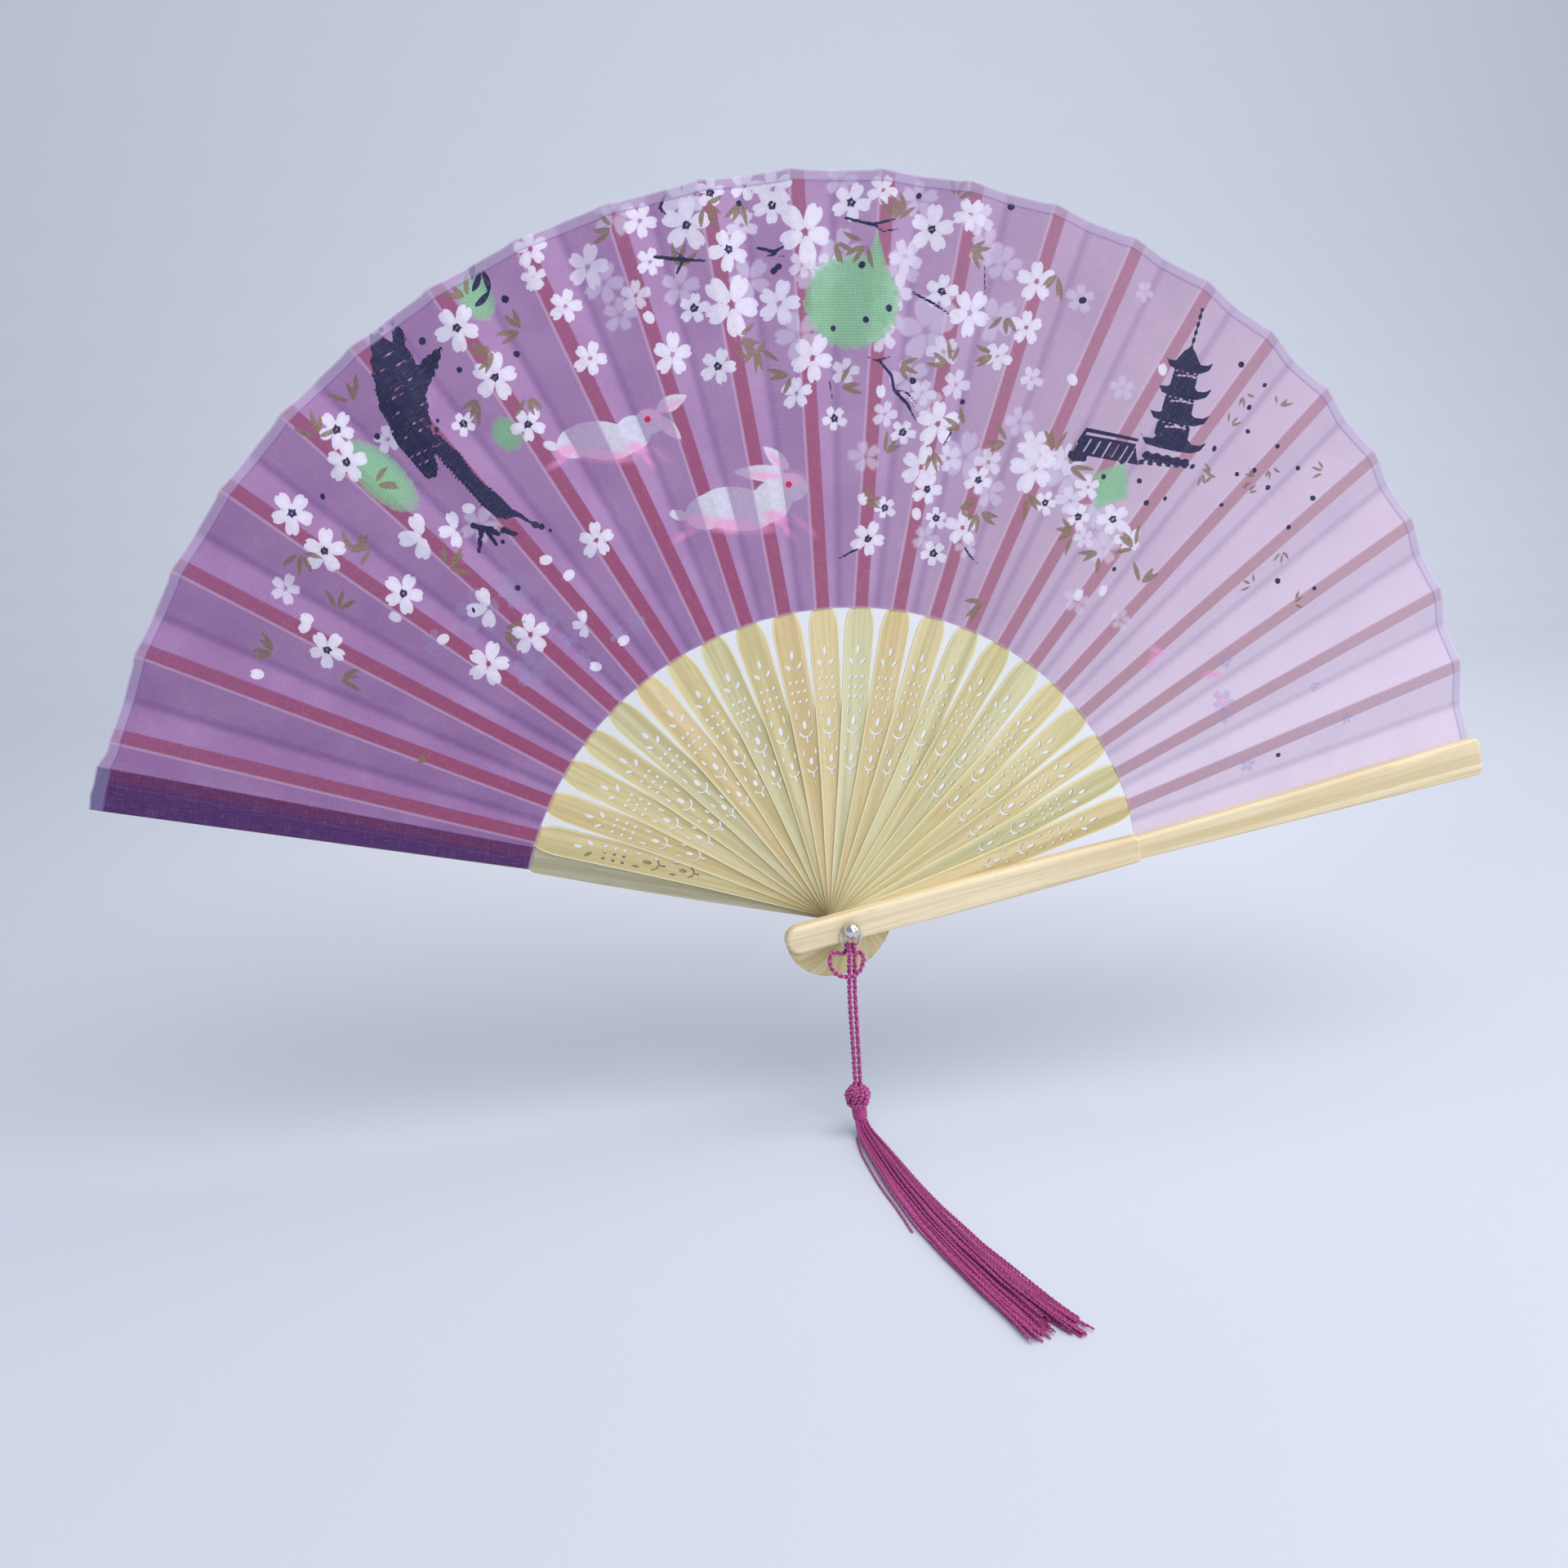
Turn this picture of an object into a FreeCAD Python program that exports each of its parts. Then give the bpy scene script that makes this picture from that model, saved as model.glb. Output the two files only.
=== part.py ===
import FreeCAD, Part
import math
import os

os.makedirs("parts", exist_ok=True)
V = FreeCAD.Vector

# ---------------------------------------------------------------- driving sizes (mm, degrees)
# Frame: the rivet runs along Y, the fan stands in the XZ plane, its front looks to -Y.
# y = 0 is the inner face of the front guard, z = 0 and x = 0 are on the rivet's axis.
N_STICKS = 22            # inner sticks, 01 next to the back guard, 22 next to the front guard
PITCH = 6.779            # opening angle between two neighbouring sticks
STICK_22_DIR = 18.815    # direction of stick 22, measured from +X towards +Z
FRONT_DIR = 10.3         # direction of the front guard
BACK_DIR = 165.4         # direction of the back guard

LEVEL = 0.60             # one stick's place in the stack, along the rivet
STICK_T = 0.55           # stick thickness below the leaf
RIB_T = 0.30             # stick thickness under the leaf
FIRST_GAP = 0.05         # running gap between two faces

GUARD_T = 3.0            # guard thickness
GUARD_EDGE_R = 1.1       # rounding of a guard's outer edges

LEAF_R_IN = 84.9         # leaf, inner edge
LEAF_R_OUT = 190.0       # leaf, outer edge
LEAF_T = 0.12            # cloth thickness
VALLEY_IN, VALLEY_OUT = 3.3, 9.3      # valley fold, distance from the stick's centre line
DEPTH_IN, DEPTH_OUT = 0.55, 2.3       # how far the valley lies behind the ridge

RIB_HALF = 1.85          # half the width of a rib under the leaf
RIB_END = 187.6          # tip of a rib
GORGE_END = 84.4         # the thick part of a stick ends at the leaf's inner edge
TAIL = 17.5              # from the rivet to the rounded tail

PIN_R = 1.50             # rivet pin
BORE_R = 1.55            # bore in each stick
FLOOR_Z = -60.0          # table that the tassel's skirt lies on


def level(k):
    return FIRST_GAP + (N_STICKS - k) * LEVEL


def direction(k):
    return STICK_22_DIR + (N_STICKS - k) * PITCH


BACK_FACE = level(1) + STICK_T + FIRST_GAP      # front face of the back guard
BACK_LEAF_FACE = BACK_FACE + 0.20               # the same face under the leaf


def save(shape, name):
    shape.exportStep("parts/%s.step" % name)
    print("%-14s volume %9.3f mm3, faces %d, valid %s, bbox z %.2f" % (name, shape.Volume, len(shape.Faces), shape.isValid(), shape.BoundBox.ZMin))


def prism(wire, y0, y1):
    face = Part.Face(wire)
    solid = face.extrude(V(0, y1 - y0, 0))
    solid.translate(V(0, y0, 0))
    return solid


def spline(points):
    curve = Part.BSplineCurve()
    curve.interpolate([V(u, 0, v) for u, v in points])
    return curve.toShape()


def line(a, b):
    return Part.LineSegment(V(a[0], 0, a[1]), V(b[0], 0, b[1])).toShape()


def arc(a, m, b):
    return Part.Arc(V(a[0], 0, a[1]), V(m[0], 0, m[1]), V(b[0], 0, b[1])).toShape()


# ---------------------------------------------------------------- one stick, along +X
def stick_outline():
    r = 3.45
    cu = -(TAIL - r)
    side = [(cu, r), (40.0, 3.25), (60.0, 3.5), (76.0, 3.85)]
    shoulder = [(76.0, 3.85), (79.5, 3.9), (82.5, 3.55), (84.9, 2.75), (87.2, 2.05), (90.5, RIB_HALF)]
    edges = [arc((cu, -r), (cu - r, 0), (cu, r))]
    for sign in (1,):
        edges += [line(side[i], side[i + 1]) for i in range(3)]
        edges.append(spline(shoulder))
        edges.append(line((90.5, RIB_HALF), (RIB_END - 1.2, RIB_HALF)))
    edges.append(arc((RIB_END - 1.2, RIB_HALF), (RIB_END, 0), (RIB_END - 1.2, -RIB_HALF)))
    edges.append(line((RIB_END - 1.2, -RIB_HALF), (90.5, -RIB_HALF)))
    edges.append(spline([(u, -v) for u, v in reversed(shoulder)]))
    edges += [line((side[i + 1][0], -side[i + 1][1]), (side[i][0], -side[i][1])) for i in (2, 1, 0)]
    return Part.Wire(edges)


def leaf_hole(u, v, length, width, angle):
    """A pointed leaf-shaped opening."""
    a, b = length / 2.0, width / 2.0
    w = Part.Wire([arc((-a, 0), (0, b), (a, 0)), arc((a, 0), (0, -b), (-a, 0))])
    s = prism(w, -1, 2)
    s.rotate(V(0, 0, 0), V(0, -1, 0), angle)
    s.translate(V(u, 0, v))
    return s


def oval_hole(u, v, length, width):
    e = Part.Ellipse(V(0, 0, 0), length / 2.0, width / 2.0).toShape()
    e.rotate(V(0, 0, 0), V(1, 0, 0), 90)
    s = prism(Part.Wire([e]), -1, 2)
    s.translate(V(u, 0, v))
    return s


def smile_hole(u, half, drop, stem, t):
    """A curved slit, open towards the leaf, with a short stem towards the rivet. u is its lowest point."""
    outer = Part.Wire([
        arc((u + drop, half), (u, 0), (u + drop, -half)),
        line((u + drop, -half), (u + drop + t * 0.5, -half + t * 0.9)),
        arc((u + drop + t * 0.5, -half + t * 0.9), (u + t, 0), (u + drop + t * 0.5, half - t * 0.9)),
        line((u + drop + t * 0.5, half - t * 0.9), (u + drop, half)),
    ])
    s = prism(outer, -1, 2)
    p = Part.makeBox(stem + 0.25, 3, t)
    p.translate(V(u - stem, -1, -t / 2.0))
    return s.fuse(p).removeSplitter()


def cut_outs():
    tools = [
        leaf_hole(73.9, 0.0, 2.8, 1.05, 0),
        leaf_hole(70.9, 1.55, 2.4, 0.95, 38),
        leaf_hole(70.9, -1.55, 2.4, 0.95, -38),
    ]
    for u in (66.7, 64.0, 61.4):
        for v in (-1.7, 0.0, 1.7):
            tools.append(oval_hole(u, v, 1.05, 0.82))
    tools += [leaf_hole(57.7, 1.75, 2.4, 0.62, 0), leaf_hole(57.7, -1.75, 2.4, 0.62, 0)]
    tools += [oval_hole(54.9, 0, 2.5, 1.15), smile_hole(51.4, 1.85, 1.75, 1.6, 0.5)]
    tools += [leaf_hole(47.3, 1.65, 2.0, 0.56, 0), leaf_hole(47.3, -1.65, 2.0, 0.56, 0)]
    tools += [oval_hole(44.8, 0, 2.2, 1.05), smile_hole(41.5, 1.5, 1.4, 1.4, 0.46)]
    return tools


def make_stick():
    s = prism(stick_outline(), 0, STICK_T)
    thin = Part.makeBox(200, STICK_T - RIB_T, 40)
    thin.translate(V(GORGE_END, 0, -20))
    s = s.cut(thin)
    bore = Part.makeCylinder(BORE_R, 4, V(0, -2, 0), V(0, 1, 0))
    s = s.cut(Part.makeCompound([bore]))
    s = s.cut(cut_outs())
    return s.Solids[0] if s.ShapeType != "Solid" and len(s.Solids) == 1 else s


stick = make_stick()
print("stick solids", len(stick.Solids), "faces", len(stick.Faces))
for k in range(1, N_STICKS + 1):
    s = stick.copy()
    s.rotate(V(0, 0, 0), V(0, -1, 0), direction(k))
    s.translate(V(0, level(k), 0))
    save(s, "stick_%02d" % k)


# ---------------------------------------------------------------- guards, along +X
GW = [(-13.8, 3.95), (0.0, 4.0), (30.0, 4.35), (62.0, 4.3), (82.6, 3.95)]      # gorge part, half widths
BLADE_IN, BLADE_OUT, GUARD_END = 3.25, 5.7, 191.6


def gorge_wire():
    u0, r = GW[0]
    edges = [arc((u0, -r), (u0 - r + 0.1, 0), (u0, r)), spline(GW)]
    edges.append(spline([(82.6, 3.95), (83.9, 3.8), (84.6, 3.3), (84.9, 2.6)]))
    edges.append(line((84.9, 2.6), (84.9, -2.6)))
    edges.append(spline([(84.9, -2.6), (84.6, -3.3), (83.9, -3.8), (82.6, -3.95)]))
    edges.append(spline([(u, -v) for u, v in reversed(GW)]))
    return Part.Wire(edges)


def blade_wire(c=1.7):
    edges = [
        line((80.0, -BLADE_IN), (80.0, BLADE_IN)),
        line((80.0, BLADE_IN), (GUARD_END - c, BLADE_OUT)),
        arc((GUARD_END - c, BLADE_OUT), (GUARD_END - c * 0.30, BLADE_OUT - c * 0.30), (GUARD_END, BLADE_OUT - c)),
        line((GUARD_END, BLADE_OUT - c), (GUARD_END + 0.5, -BLADE_OUT + c)),
        arc((GUARD_END + 0.5, -BLADE_OUT + c), (GUARD_END + 0.5 - c * 0.30, -BLADE_OUT + c * 0.30), (GUARD_END - c, -BLADE_OUT)),
        line((GUARD_END - c, -BLADE_OUT), (80.0, -BLADE_IN)),
    ]
    return Part.Wire(edges)


def rounded(solid, y_face, radius):
    """Rounds every edge that lies in the outer face."""
    edges = []
    for e in solid.Edges:
        if all(abs(v.Point.y - y_face) < 1e-4 for v in e.Vertexes) and abs(e.BoundBox.YMax - e.BoundBox.YMin) < 1e-4:
            edges.append(e)
    for r in (radius, radius * 0.8, radius * 0.6):
        try:
            out = solid.makeFillet(r, edges)
            if out.isValid() and out.Volume > 0.5 * solid.Volume:
                print("fillet", r, "ok")
                return out
        except Exception as err:
            print("fillet", r, err)
    return solid


def make_guard():
    """Outer face at y = -GUARD_T, inner face at y = 0."""
    gorge = rounded(prism(gorge_wire(), -GUARD_T, 0), -GUARD_T, GUARD_EDGE_R)
    blade = rounded(prism(blade_wire(), -GUARD_T + 0.35, 0), -GUARD_T + 0.35, GUARD_EDGE_R)
    g = gorge.fuse(blade)
    return g


guard = make_guard()
front = guard.cut(Part.makeCylinder(PIN_R + 0.02, 12, V(0, -6, 0), V(0, 1, 0)))
front = front.Solids[0]
front.rotate(V(0, 0, 0), V(0, -1, 0), FRONT_DIR)
save(front, "front_guard")

back = guard.mirror(V(0, 0, 0), V(0, 1, 0))                 # outer face now at +GUARD_T
back = back.cut(Part.makeCylinder(BORE_R, 12, V(0, -6, 0), V(0, 1, 0)))
slot = Part.makeBox(120, 0.20, 40)
slot.translate(V(GORGE_END, 0, -20))
back = back.cut(slot).Solids[0]
back.rotate(V(0, 0, 0), V(0, -1, 0), BACK_DIR)
back.translate(V(0, BACK_FACE, 0))
save(back, "back_guard")


# ---------------------------------------------------------------- pleated leaf, one panel between two ribs
def polar(r, deg):
    return V(r * math.cos(math.radians(deg)), 0, r * math.sin(math.radians(deg)))


def panel_section(r, da, db, ya, yb, offsets):
    """Closed section of a panel across its two ribs. offsets: (distance from rib a or b, which rib, depth behind the line a-b)."""
    a, b = polar(r, da), polar(r, db)
    chord = (b - a).Length
    front_pts, back_pts = [], []
    for dist, side, depth in offsets:
        q = dist / chord if side == "a" else 1.0 - dist / chord
        p = a + (b - a) * q
        y = ya if (side == "a" and depth == 0) else (yb if depth == 0 else ya + (yb - ya) * q + depth)
        front_pts.append(V(p.x, y - LEAF_T / 2.0, p.z))
        back_pts.append(V(p.x, y + LEAF_T / 2.0, p.z))
    return Part.makePolygon(front_pts + back_pts[::-1] + [front_pts[0]])


def panel(da, db, ya, yb, inner, outer):
    w0 = panel_section(LEAF_R_IN, da, db, ya, yb, inner)
    w1 = panel_section(LEAF_R_OUT, da, db, ya, yb, outer)
    s = Part.makeLoft([w0, w1], True, True)
    return s


def leaf_y(k):
    """Middle of the cloth where it lies on rib k (0: back guard, 23: front guard)."""
    if k == 0:
        return BACK_LEAF_FACE - 0.05 - LEAF_T / 2.0
    if k == N_STICKS + 1:
        return 0.03 + LEAF_T / 2.0
    return level(k) + STICK_T - RIB_T - 0.02 - LEAF_T / 2.0


for k in range(1, N_STICKS):
    s = panel(direction(k), direction(k + 1), leaf_y(k), leaf_y(k + 1),
              [(0, "a", 0), (2.95, "a", 0), (VALLEY_IN + 1.0, "a", DEPTH_IN), (2.95, "b", 0), (0, "b", 0)],
              [(0, "a", 0), (RIB_HALF + 0.15, "a", 0), (VALLEY_OUT, "a", DEPTH_OUT), (RIB_HALF + 0.15, "b", 0), (0, "b", 0)])
    save(s, "leaf_%02d" % k)

# last panel, over the back guard's inner face to its outer edge
gap0 = BACK_DIR - direction(1)
s = panel(BACK_DIR, direction(1), leaf_y(0), leaf_y(1),
          [(-3.1, "a", 0), (0, "a", 0), (3.2, "a", 0), (2.95, "b", 0), (0, "b", 0)],
          [(-5.6, "a", 0), (0, "a", 0), (5.8, "a", 0), (RIB_HALF + 0.15, "b", 0), (0, "b", 0)])
save(s, "leaf_00")

# first panel, from stick 22 to the inner face of the front guard
s = panel(direction(N_STICKS), FRONT_DIR, leaf_y(N_STICKS), leaf_y(N_STICKS + 1),
          [(0, "a", 0), (2.95, "a", 0), (VALLEY_IN + 1.6, "a", DEPTH_IN), (2.6, "b", 0), (0, "b", 0)],
          [(0, "a", 0), (RIB_HALF + 0.15, "a", 0), (VALLEY_OUT + 2.5, "a", DEPTH_OUT), (5.0, "b", 0), (0, "b", 0)])
save(s, "leaf_22")


# ---------------------------------------------------------------- rivet
NECK_R, NECK_L = 1.0, 1.35
HEAD_R, HEAD_H = 2.25, 2.0
BACK_END = BACK_FACE + GUARD_T
pin = Part.makeCylinder(PIN_R, BACK_END + 0.1 + GUARD_T, V(0, -GUARD_T, 0), V(0, 1, 0))
ball = Part.makeSphere(3.4, V(0, BACK_END + 0.1 + 1.2 - 3.4, 0))
cap = ball.common(Part.makeCylinder(4, 1.3, V(0, BACK_END + 0.1, 0), V(0, 1, 0)))
pin = pin.fuse(cap).removeSplitter()
save(pin.Solids[0], "rivet_pin")

neck = Part.makeCylinder(NECK_R, NECK_L + 0.4, V(0, -GUARD_T - 0.002, 0), V(0, -1, 0))
head = Part.makeSphere(HEAD_R, V(0, -GUARD_T - NECK_L - 0.55, 0))
head = head.common(Part.makeCylinder(4, 5, V(0, -GUARD_T - NECK_L, 0), V(0, -1, 0)))
head = neck.fuse(head).removeSplitter()
save(head.Solids[0], "rivet_head")

# oval ring of round wire that hangs on the rivet's neck
WIRE_R, RING_HX, RING_HZ = 0.32, 2.8, 3.5
RING_Y = -GUARD_T - NECK_L / 2.0
RING_Z = NECK_R + 0.03 + WIRE_R - RING_HZ
oval = Part.Ellipse(V(0, 0, 0), RING_HZ, RING_HX).toShape()
oval.rotate(V(0, 0, 0), V(1, 0, 0), 90)
oval.rotate(V(0, 0, 0), V(0, 1, 0), 90)
oval.translate(V(0, RING_Y, RING_Z))
e = oval.Edges[0]
start = e.valueAt(e.FirstParameter)
section = Part.Wire([Part.makeCircle(WIRE_R, start, e.tangentAt(e.FirstParameter))])
ring = Part.Wire([e]).makePipeShell([section], True, True)
save(ring, "bail_ring")


# ---------------------------------------------------------------- tassel
CORD_D = 1.3


def route_wire(points, ratio=0.45):
    """Straight runs joined by tangent arcs."""
    pts = [V(*p) for p in points]
    edges, here = [], pts[0]
    for i in range(1, len(pts) - 1):
        p = pts[i]
        d0, d1 = pts[i] - pts[i - 1], pts[i + 1] - pts[i]
        l0, l1 = d0.Length, d1.Length
        d0.normalize()
        d1.normalize()
        turn = math.acos(max(-1.0, min(1.0, d0.dot(d1))))
        if turn < 1e-3:
            continue
        cut = ratio * min(l0, l1)
        radius = cut / math.tan(turn / 2.0)
        a, b = p - d0 * cut, p + d1 * cut
        bis = (d1 - d0)
        bis.normalize()
        centre = p + bis * (radius / math.cos(turn / 2.0))
        m = p - centre
        m.normalize()
        mid = centre + m * radius
        print("   turn %5.1f deg, radius %5.2f mm, run %5.2f mm" % (math.degrees(turn), radius, l0))
        if (a - here).Length > 1e-6:
            edges.append(Part.LineSegment(here, a).toShape())
        edges.append(Part.Arc(a, mid, b).toShape())
        here = b
    edges.append(Part.LineSegment(here, pts[-1]).toShape())
    return Part.Wire(edges)


def tube(points, d, ratio=0.45):
    w = route_wire(points, ratio)
    p0 = V(*points[0])
    t = V(*points[1]) - p0
    circle = Part.Wire([Part.makeCircle(d / 2.0, p0, t)])
    s = w.makePipeShell([circle], True, True)
    print("   cord length %.2f mm, volume %.3f of %.3f" % (w.Length, s.Volume, w.Length * math.pi * d * d / 4))
    return s


CORD_ROUTE = [
    (0.85, -5.9, -45.2), (0.45, -5.8, -38.0), (-0.25, -5.6, -28.0), (-0.80, -5.35, -18.0),
    (-0.80, -5.10, -12.0), (-0.75, -5.02, -8.2), (-0.75, -5.02, -4.43), (-0.75, -2.22, -4.43), (-0.75, -2.22, -7.6),
    (-3.3, -2.95, -7.2), (-5.0, -4.3, -5.7), (-6.3, -5.3, -7.2), (-6.3, -6.0, -9.4), (-4.7, -6.6, -11.6),
    (-2.2, -6.95, -12.5), (0.4, -6.95, -12.2), (2.3, -6.5, -10.6), (3.2, -5.5, -8.4), (3.2, -3.6, -7.1),
    (0.75, -2.22, -7.6), (0.75, -2.22, -4.43), (0.75, -5.02, -4.43), (0.75, -5.02, -8.2),
    (0.65, -5.15, -12.2), (0.70, -5.45, -18.0), (1.25, -5.75, -28.0), (1.85, -5.95, -38.0), (2.20, -6.0, -45.2),
]
cord = tube(CORD_ROUTE, CORD_D)
save(cord, "tassel_cord")

# knot ball, with a flat neck of binding below it
KNOT = (1.55, -6.0, -48.4)
knot = Part.makeSphere(1.0)
m = FreeCAD.Matrix()
m.scale(3.5, 3.1, 3.9)
knot = knot.transformGeometry(m)
knot.rotate(V(0, 0, 0), V(0, 1, 0), -8)
knot.translate(V(*KNOT))
low = Part.makeCylinder(6, 4, V(KNOT[0], KNOT[1], KNOT[2] - 3.2), V(0, 0, -1))
high = Part.makeCylinder(6, 4, V(KNOT[0], KNOT[1], -45.25), V(0, 0, 1))
knot = knot.cut(low).cut(high)
save(knot.Solids[0], "tassel_knot")

NECK_TOP = KNOT[2] - 3.25
neckb = Part.makeCone(1.85, 1.75, 3.6, V(1.95, -6.1, NECK_TOP), V(0.10, -0.12, -1))
trim = Part.makeCylinder(6, 3, V(1.7, -6.0, NECK_TOP), V(0, 0, 1))
neckb = neckb.cut(trim)
save(neckb.Solids[0], "tassel_neck")

# skirt of threads, from the neck down onto the table and along it
SKIRT = [  # x, y, z of the centre line, half width, half thickness
    (2.35, -6.55, -55.45, 1.65, 1.60),
    (2.50, -7.05, -56.50, 1.80, 1.60),
    (2.70, -8.30, -57.60, 2.00, 1.60),
    (2.95, -10.4, -58.15, 2.20, 1.60),
    (3.30, -14.0, -58.30, 2.55, 1.58),
    (4.00, -22.0, -58.35, 3.10, 1.55),
    (5.30, -36.0, -58.40, 3.85, 1.52),
    (7.40, -52.0, -58.44, 4.50, 1.48),
    (10.6, -68.0, -58.48, 5.00, 1.46),
    (14.8, -83.0, -58.50, 5.40, 1.44),
    (20.0, -98.5, -58.52, 5.90, 1.42),
]
sections = []
for i, (x, y, z, hw, ht) in enumerate(SKIRT):
    p0 = SKIRT[max(0, i - 1)]
    p1 = SKIRT[min(len(SKIRT) - 1, i + 1)]
    t = V(p1[0] - p0[0], p1[1] - p0[1], p1[2] - p0[2])
    if i == 0:
        t = V(0.10, -0.20, -1.0)
    t.normalize()
    side = V(1, 0, 0) - t * t.x
    side.normalize()
    up = side.cross(t)
    up.normalize()
    pts = []
    for j in range(14):
        a = 2 * math.pi * j / 14
        pts.append(V(x, y, z) + side * (hw * math.cos(a)) + up * (ht * math.sin(a)))
    sections.append(Part.makePolygon(pts + [pts[0]]))
skirt = Part.makeLoft(sections, True, True)
save(skirt, "tassel_skirt")

# one thread that has strayed from the skirt
thread = tube([(0.35, -9.6, -59.3), (-0.6, -16.0, -59.62), (-0.6, -24.0, -59.62), (-0.2, -36.0, -59.62), (1.1, -46.0, -59.62), (1.6, -56.0, -59.62)], 0.7)
save(thread, "tassel_thread")
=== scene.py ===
import math
import random
import bpy
import numpy as np
from mathutils import Matrix, Vector


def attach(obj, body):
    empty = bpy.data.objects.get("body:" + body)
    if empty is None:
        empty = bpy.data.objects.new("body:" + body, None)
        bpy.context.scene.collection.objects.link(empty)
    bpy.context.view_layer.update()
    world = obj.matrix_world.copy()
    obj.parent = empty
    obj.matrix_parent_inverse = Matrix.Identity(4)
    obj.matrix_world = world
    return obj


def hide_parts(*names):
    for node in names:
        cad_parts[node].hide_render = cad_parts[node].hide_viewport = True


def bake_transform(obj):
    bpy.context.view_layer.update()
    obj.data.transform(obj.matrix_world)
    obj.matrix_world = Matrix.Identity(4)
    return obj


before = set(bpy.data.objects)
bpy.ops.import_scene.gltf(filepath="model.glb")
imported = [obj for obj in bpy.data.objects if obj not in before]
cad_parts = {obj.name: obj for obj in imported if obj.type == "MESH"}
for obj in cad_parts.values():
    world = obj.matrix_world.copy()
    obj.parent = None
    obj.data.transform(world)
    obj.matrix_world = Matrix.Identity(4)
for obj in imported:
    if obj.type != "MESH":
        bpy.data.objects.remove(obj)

random.seed(7)
rng = np.random.default_rng(7)
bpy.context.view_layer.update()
scene = bpy.context.scene
scene.view_settings.view_transform = "Standard"
MM = 0.001


def link(o):
    scene.collection.objects.link(o)
    return o


# ------------------------------------------------------------------ camera
cam_data = bpy.data.cameras.new("camera")
cam_data.sensor_width = 36.0
cam_data.lens = 33.84
cam_data.clip_start = 0.005
cam = link(bpy.data.objects.new("camera", cam_data))
fwd = Vector((0.2099, 0.9357, -0.2836)).normalized()
right = Vector((0.9751, -0.2215, -0.0090))
right = (right - fwd * right.dot(fwd)).normalized()
up = right.cross(fwd).normalized()
m = Matrix((right, up, -fwd)).transposed().to_4x4()
m.translation = Vector((-0.0974, -0.3579, 0.1491))
cam.matrix_world = m
scene.camera = cam

# ------------------------------------------------------------------ tubes
def frames_of(p):
    """Unit tangent and two normals along a line, turned as little as possible."""
    t = np.gradient(p, axis=0)
    t /= np.linalg.norm(t, axis=1)[:, None] + 1e-12
    ref = np.array([0.0, 0.0, 1.0]) if abs(t[0][2]) < 0.8 else np.array([1.0, 0.0, 0.0])
    n = np.cross(t[0], ref)
    n /= np.linalg.norm(n)
    ns = [n]
    for i in range(1, len(p)):
        n = ns[-1] - t[i] * ns[-1].dot(t[i])
        n /= np.linalg.norm(n) + 1e-12
        ns.append(n)
    ns = np.array(ns)
    return t, ns, np.cross(t, ns)


def resample(p, step):
    d = np.r_[0, np.cumsum(np.linalg.norm(np.diff(p, axis=0), axis=1))]
    n = max(4, int(round(d[-1] / step)) + 1)
    s = np.linspace(0, d[-1], n)
    return np.stack([np.interp(s, d, p[:, i]) for i in range(3)], 1), s


def tubes(name, lines, radii, sides=6, tints=None):
    """One mesh of closed round tubes along several lines, with a colour number and the length along each."""
    V, F, T, S = [], [], [], []
    base = 0
    for k, p in enumerate(lines):
        t, a, b = frames_of(p)
        r = np.broadcast_to(np.asarray(radii[k], float), (len(p),)).copy()
        ang = np.linspace(0, 2 * np.pi, sides, endpoint=False)
        ring = (
            p[:, None, :]
            + r[:, None, None] * (np.cos(ang)[None, :, None] * a[:, None, :] + np.sin(ang)[None, :, None] * b[:, None, :])
        ).reshape(-1, 3)
        n = len(p)
        ends = np.array([p[0] - t[0] * r[0] * 0.5, p[-1] + t[-1] * r[-1] * 0.5])
        V.append(np.vstack([ring, ends]))
        i = np.arange(n - 1)[:, None] * sides
        j = np.arange(sides)[None, :]
        j2 = (j + 1) % sides
        q = np.stack([i + j, i + j2, i + sides + j2, i + sides + j], -1).reshape(-1, 4) + base
        F.extend(q.tolist())
        c0, c1 = base + n * sides, base + n * sides + 1
        for jj in range(sides):
            F.append([c0, base + (jj + 1) % sides, base + jj])
            F.append([c1, base + (n - 1) * sides + jj, base + (n - 1) * sides + (jj + 1) % sides])
        tint = 0.5 if tints is None else tints[k]
        d = np.r_[0, np.cumsum(np.linalg.norm(np.diff(p, axis=0), axis=1))] * 1000
        T.append(np.full(len(ring) + 2, tint))
        S.append(np.r_[np.repeat(d, sides), d[0], d[-1]])
        base += len(ring) + 2
    me = bpy.data.meshes.new(name)
    V = np.vstack(V)
    me.from_pydata(V.tolist(), [], F)
    for nm, arr in (("tint", np.concatenate(T)), ("along", np.concatenate(S))):
        at = me.attributes.new(nm, "FLOAT", "POINT")
        at.data.foreach_set("value", arr.astype(np.float32))
    me.polygons.foreach_set("use_smooth", [True] * len(me.polygons))
    me.validate()
    me.update()
    return link(bpy.data.objects.new(name, me))


def spline_points(name, pts_mm):
    """The smooth line of a route: a NURBS spline with the route's points as its control points."""
    cu = bpy.data.curves.new(name, "CURVE")
    cu.dimensions = "3D"
    sp = cu.splines.new("NURBS")
    sp.points.add(len(pts_mm) - 1)
    for p, c in zip(sp.points, pts_mm):
        p.co = (c[0] * MM, c[1] * MM, c[2] * MM, 1.0)
    sp.order_u = 3
    sp.use_endpoint_u = True
    sp.resolution_u = 16
    ob = link(bpy.data.objects.new(name, cu))
    me = bpy.data.meshes.new_from_object(ob)
    pts = np.array([v.co[:] for v in me.vertices])
    bpy.data.objects.remove(ob)
    bpy.data.curves.remove(cu)
    bpy.data.meshes.remove(me)
    return pts


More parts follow.
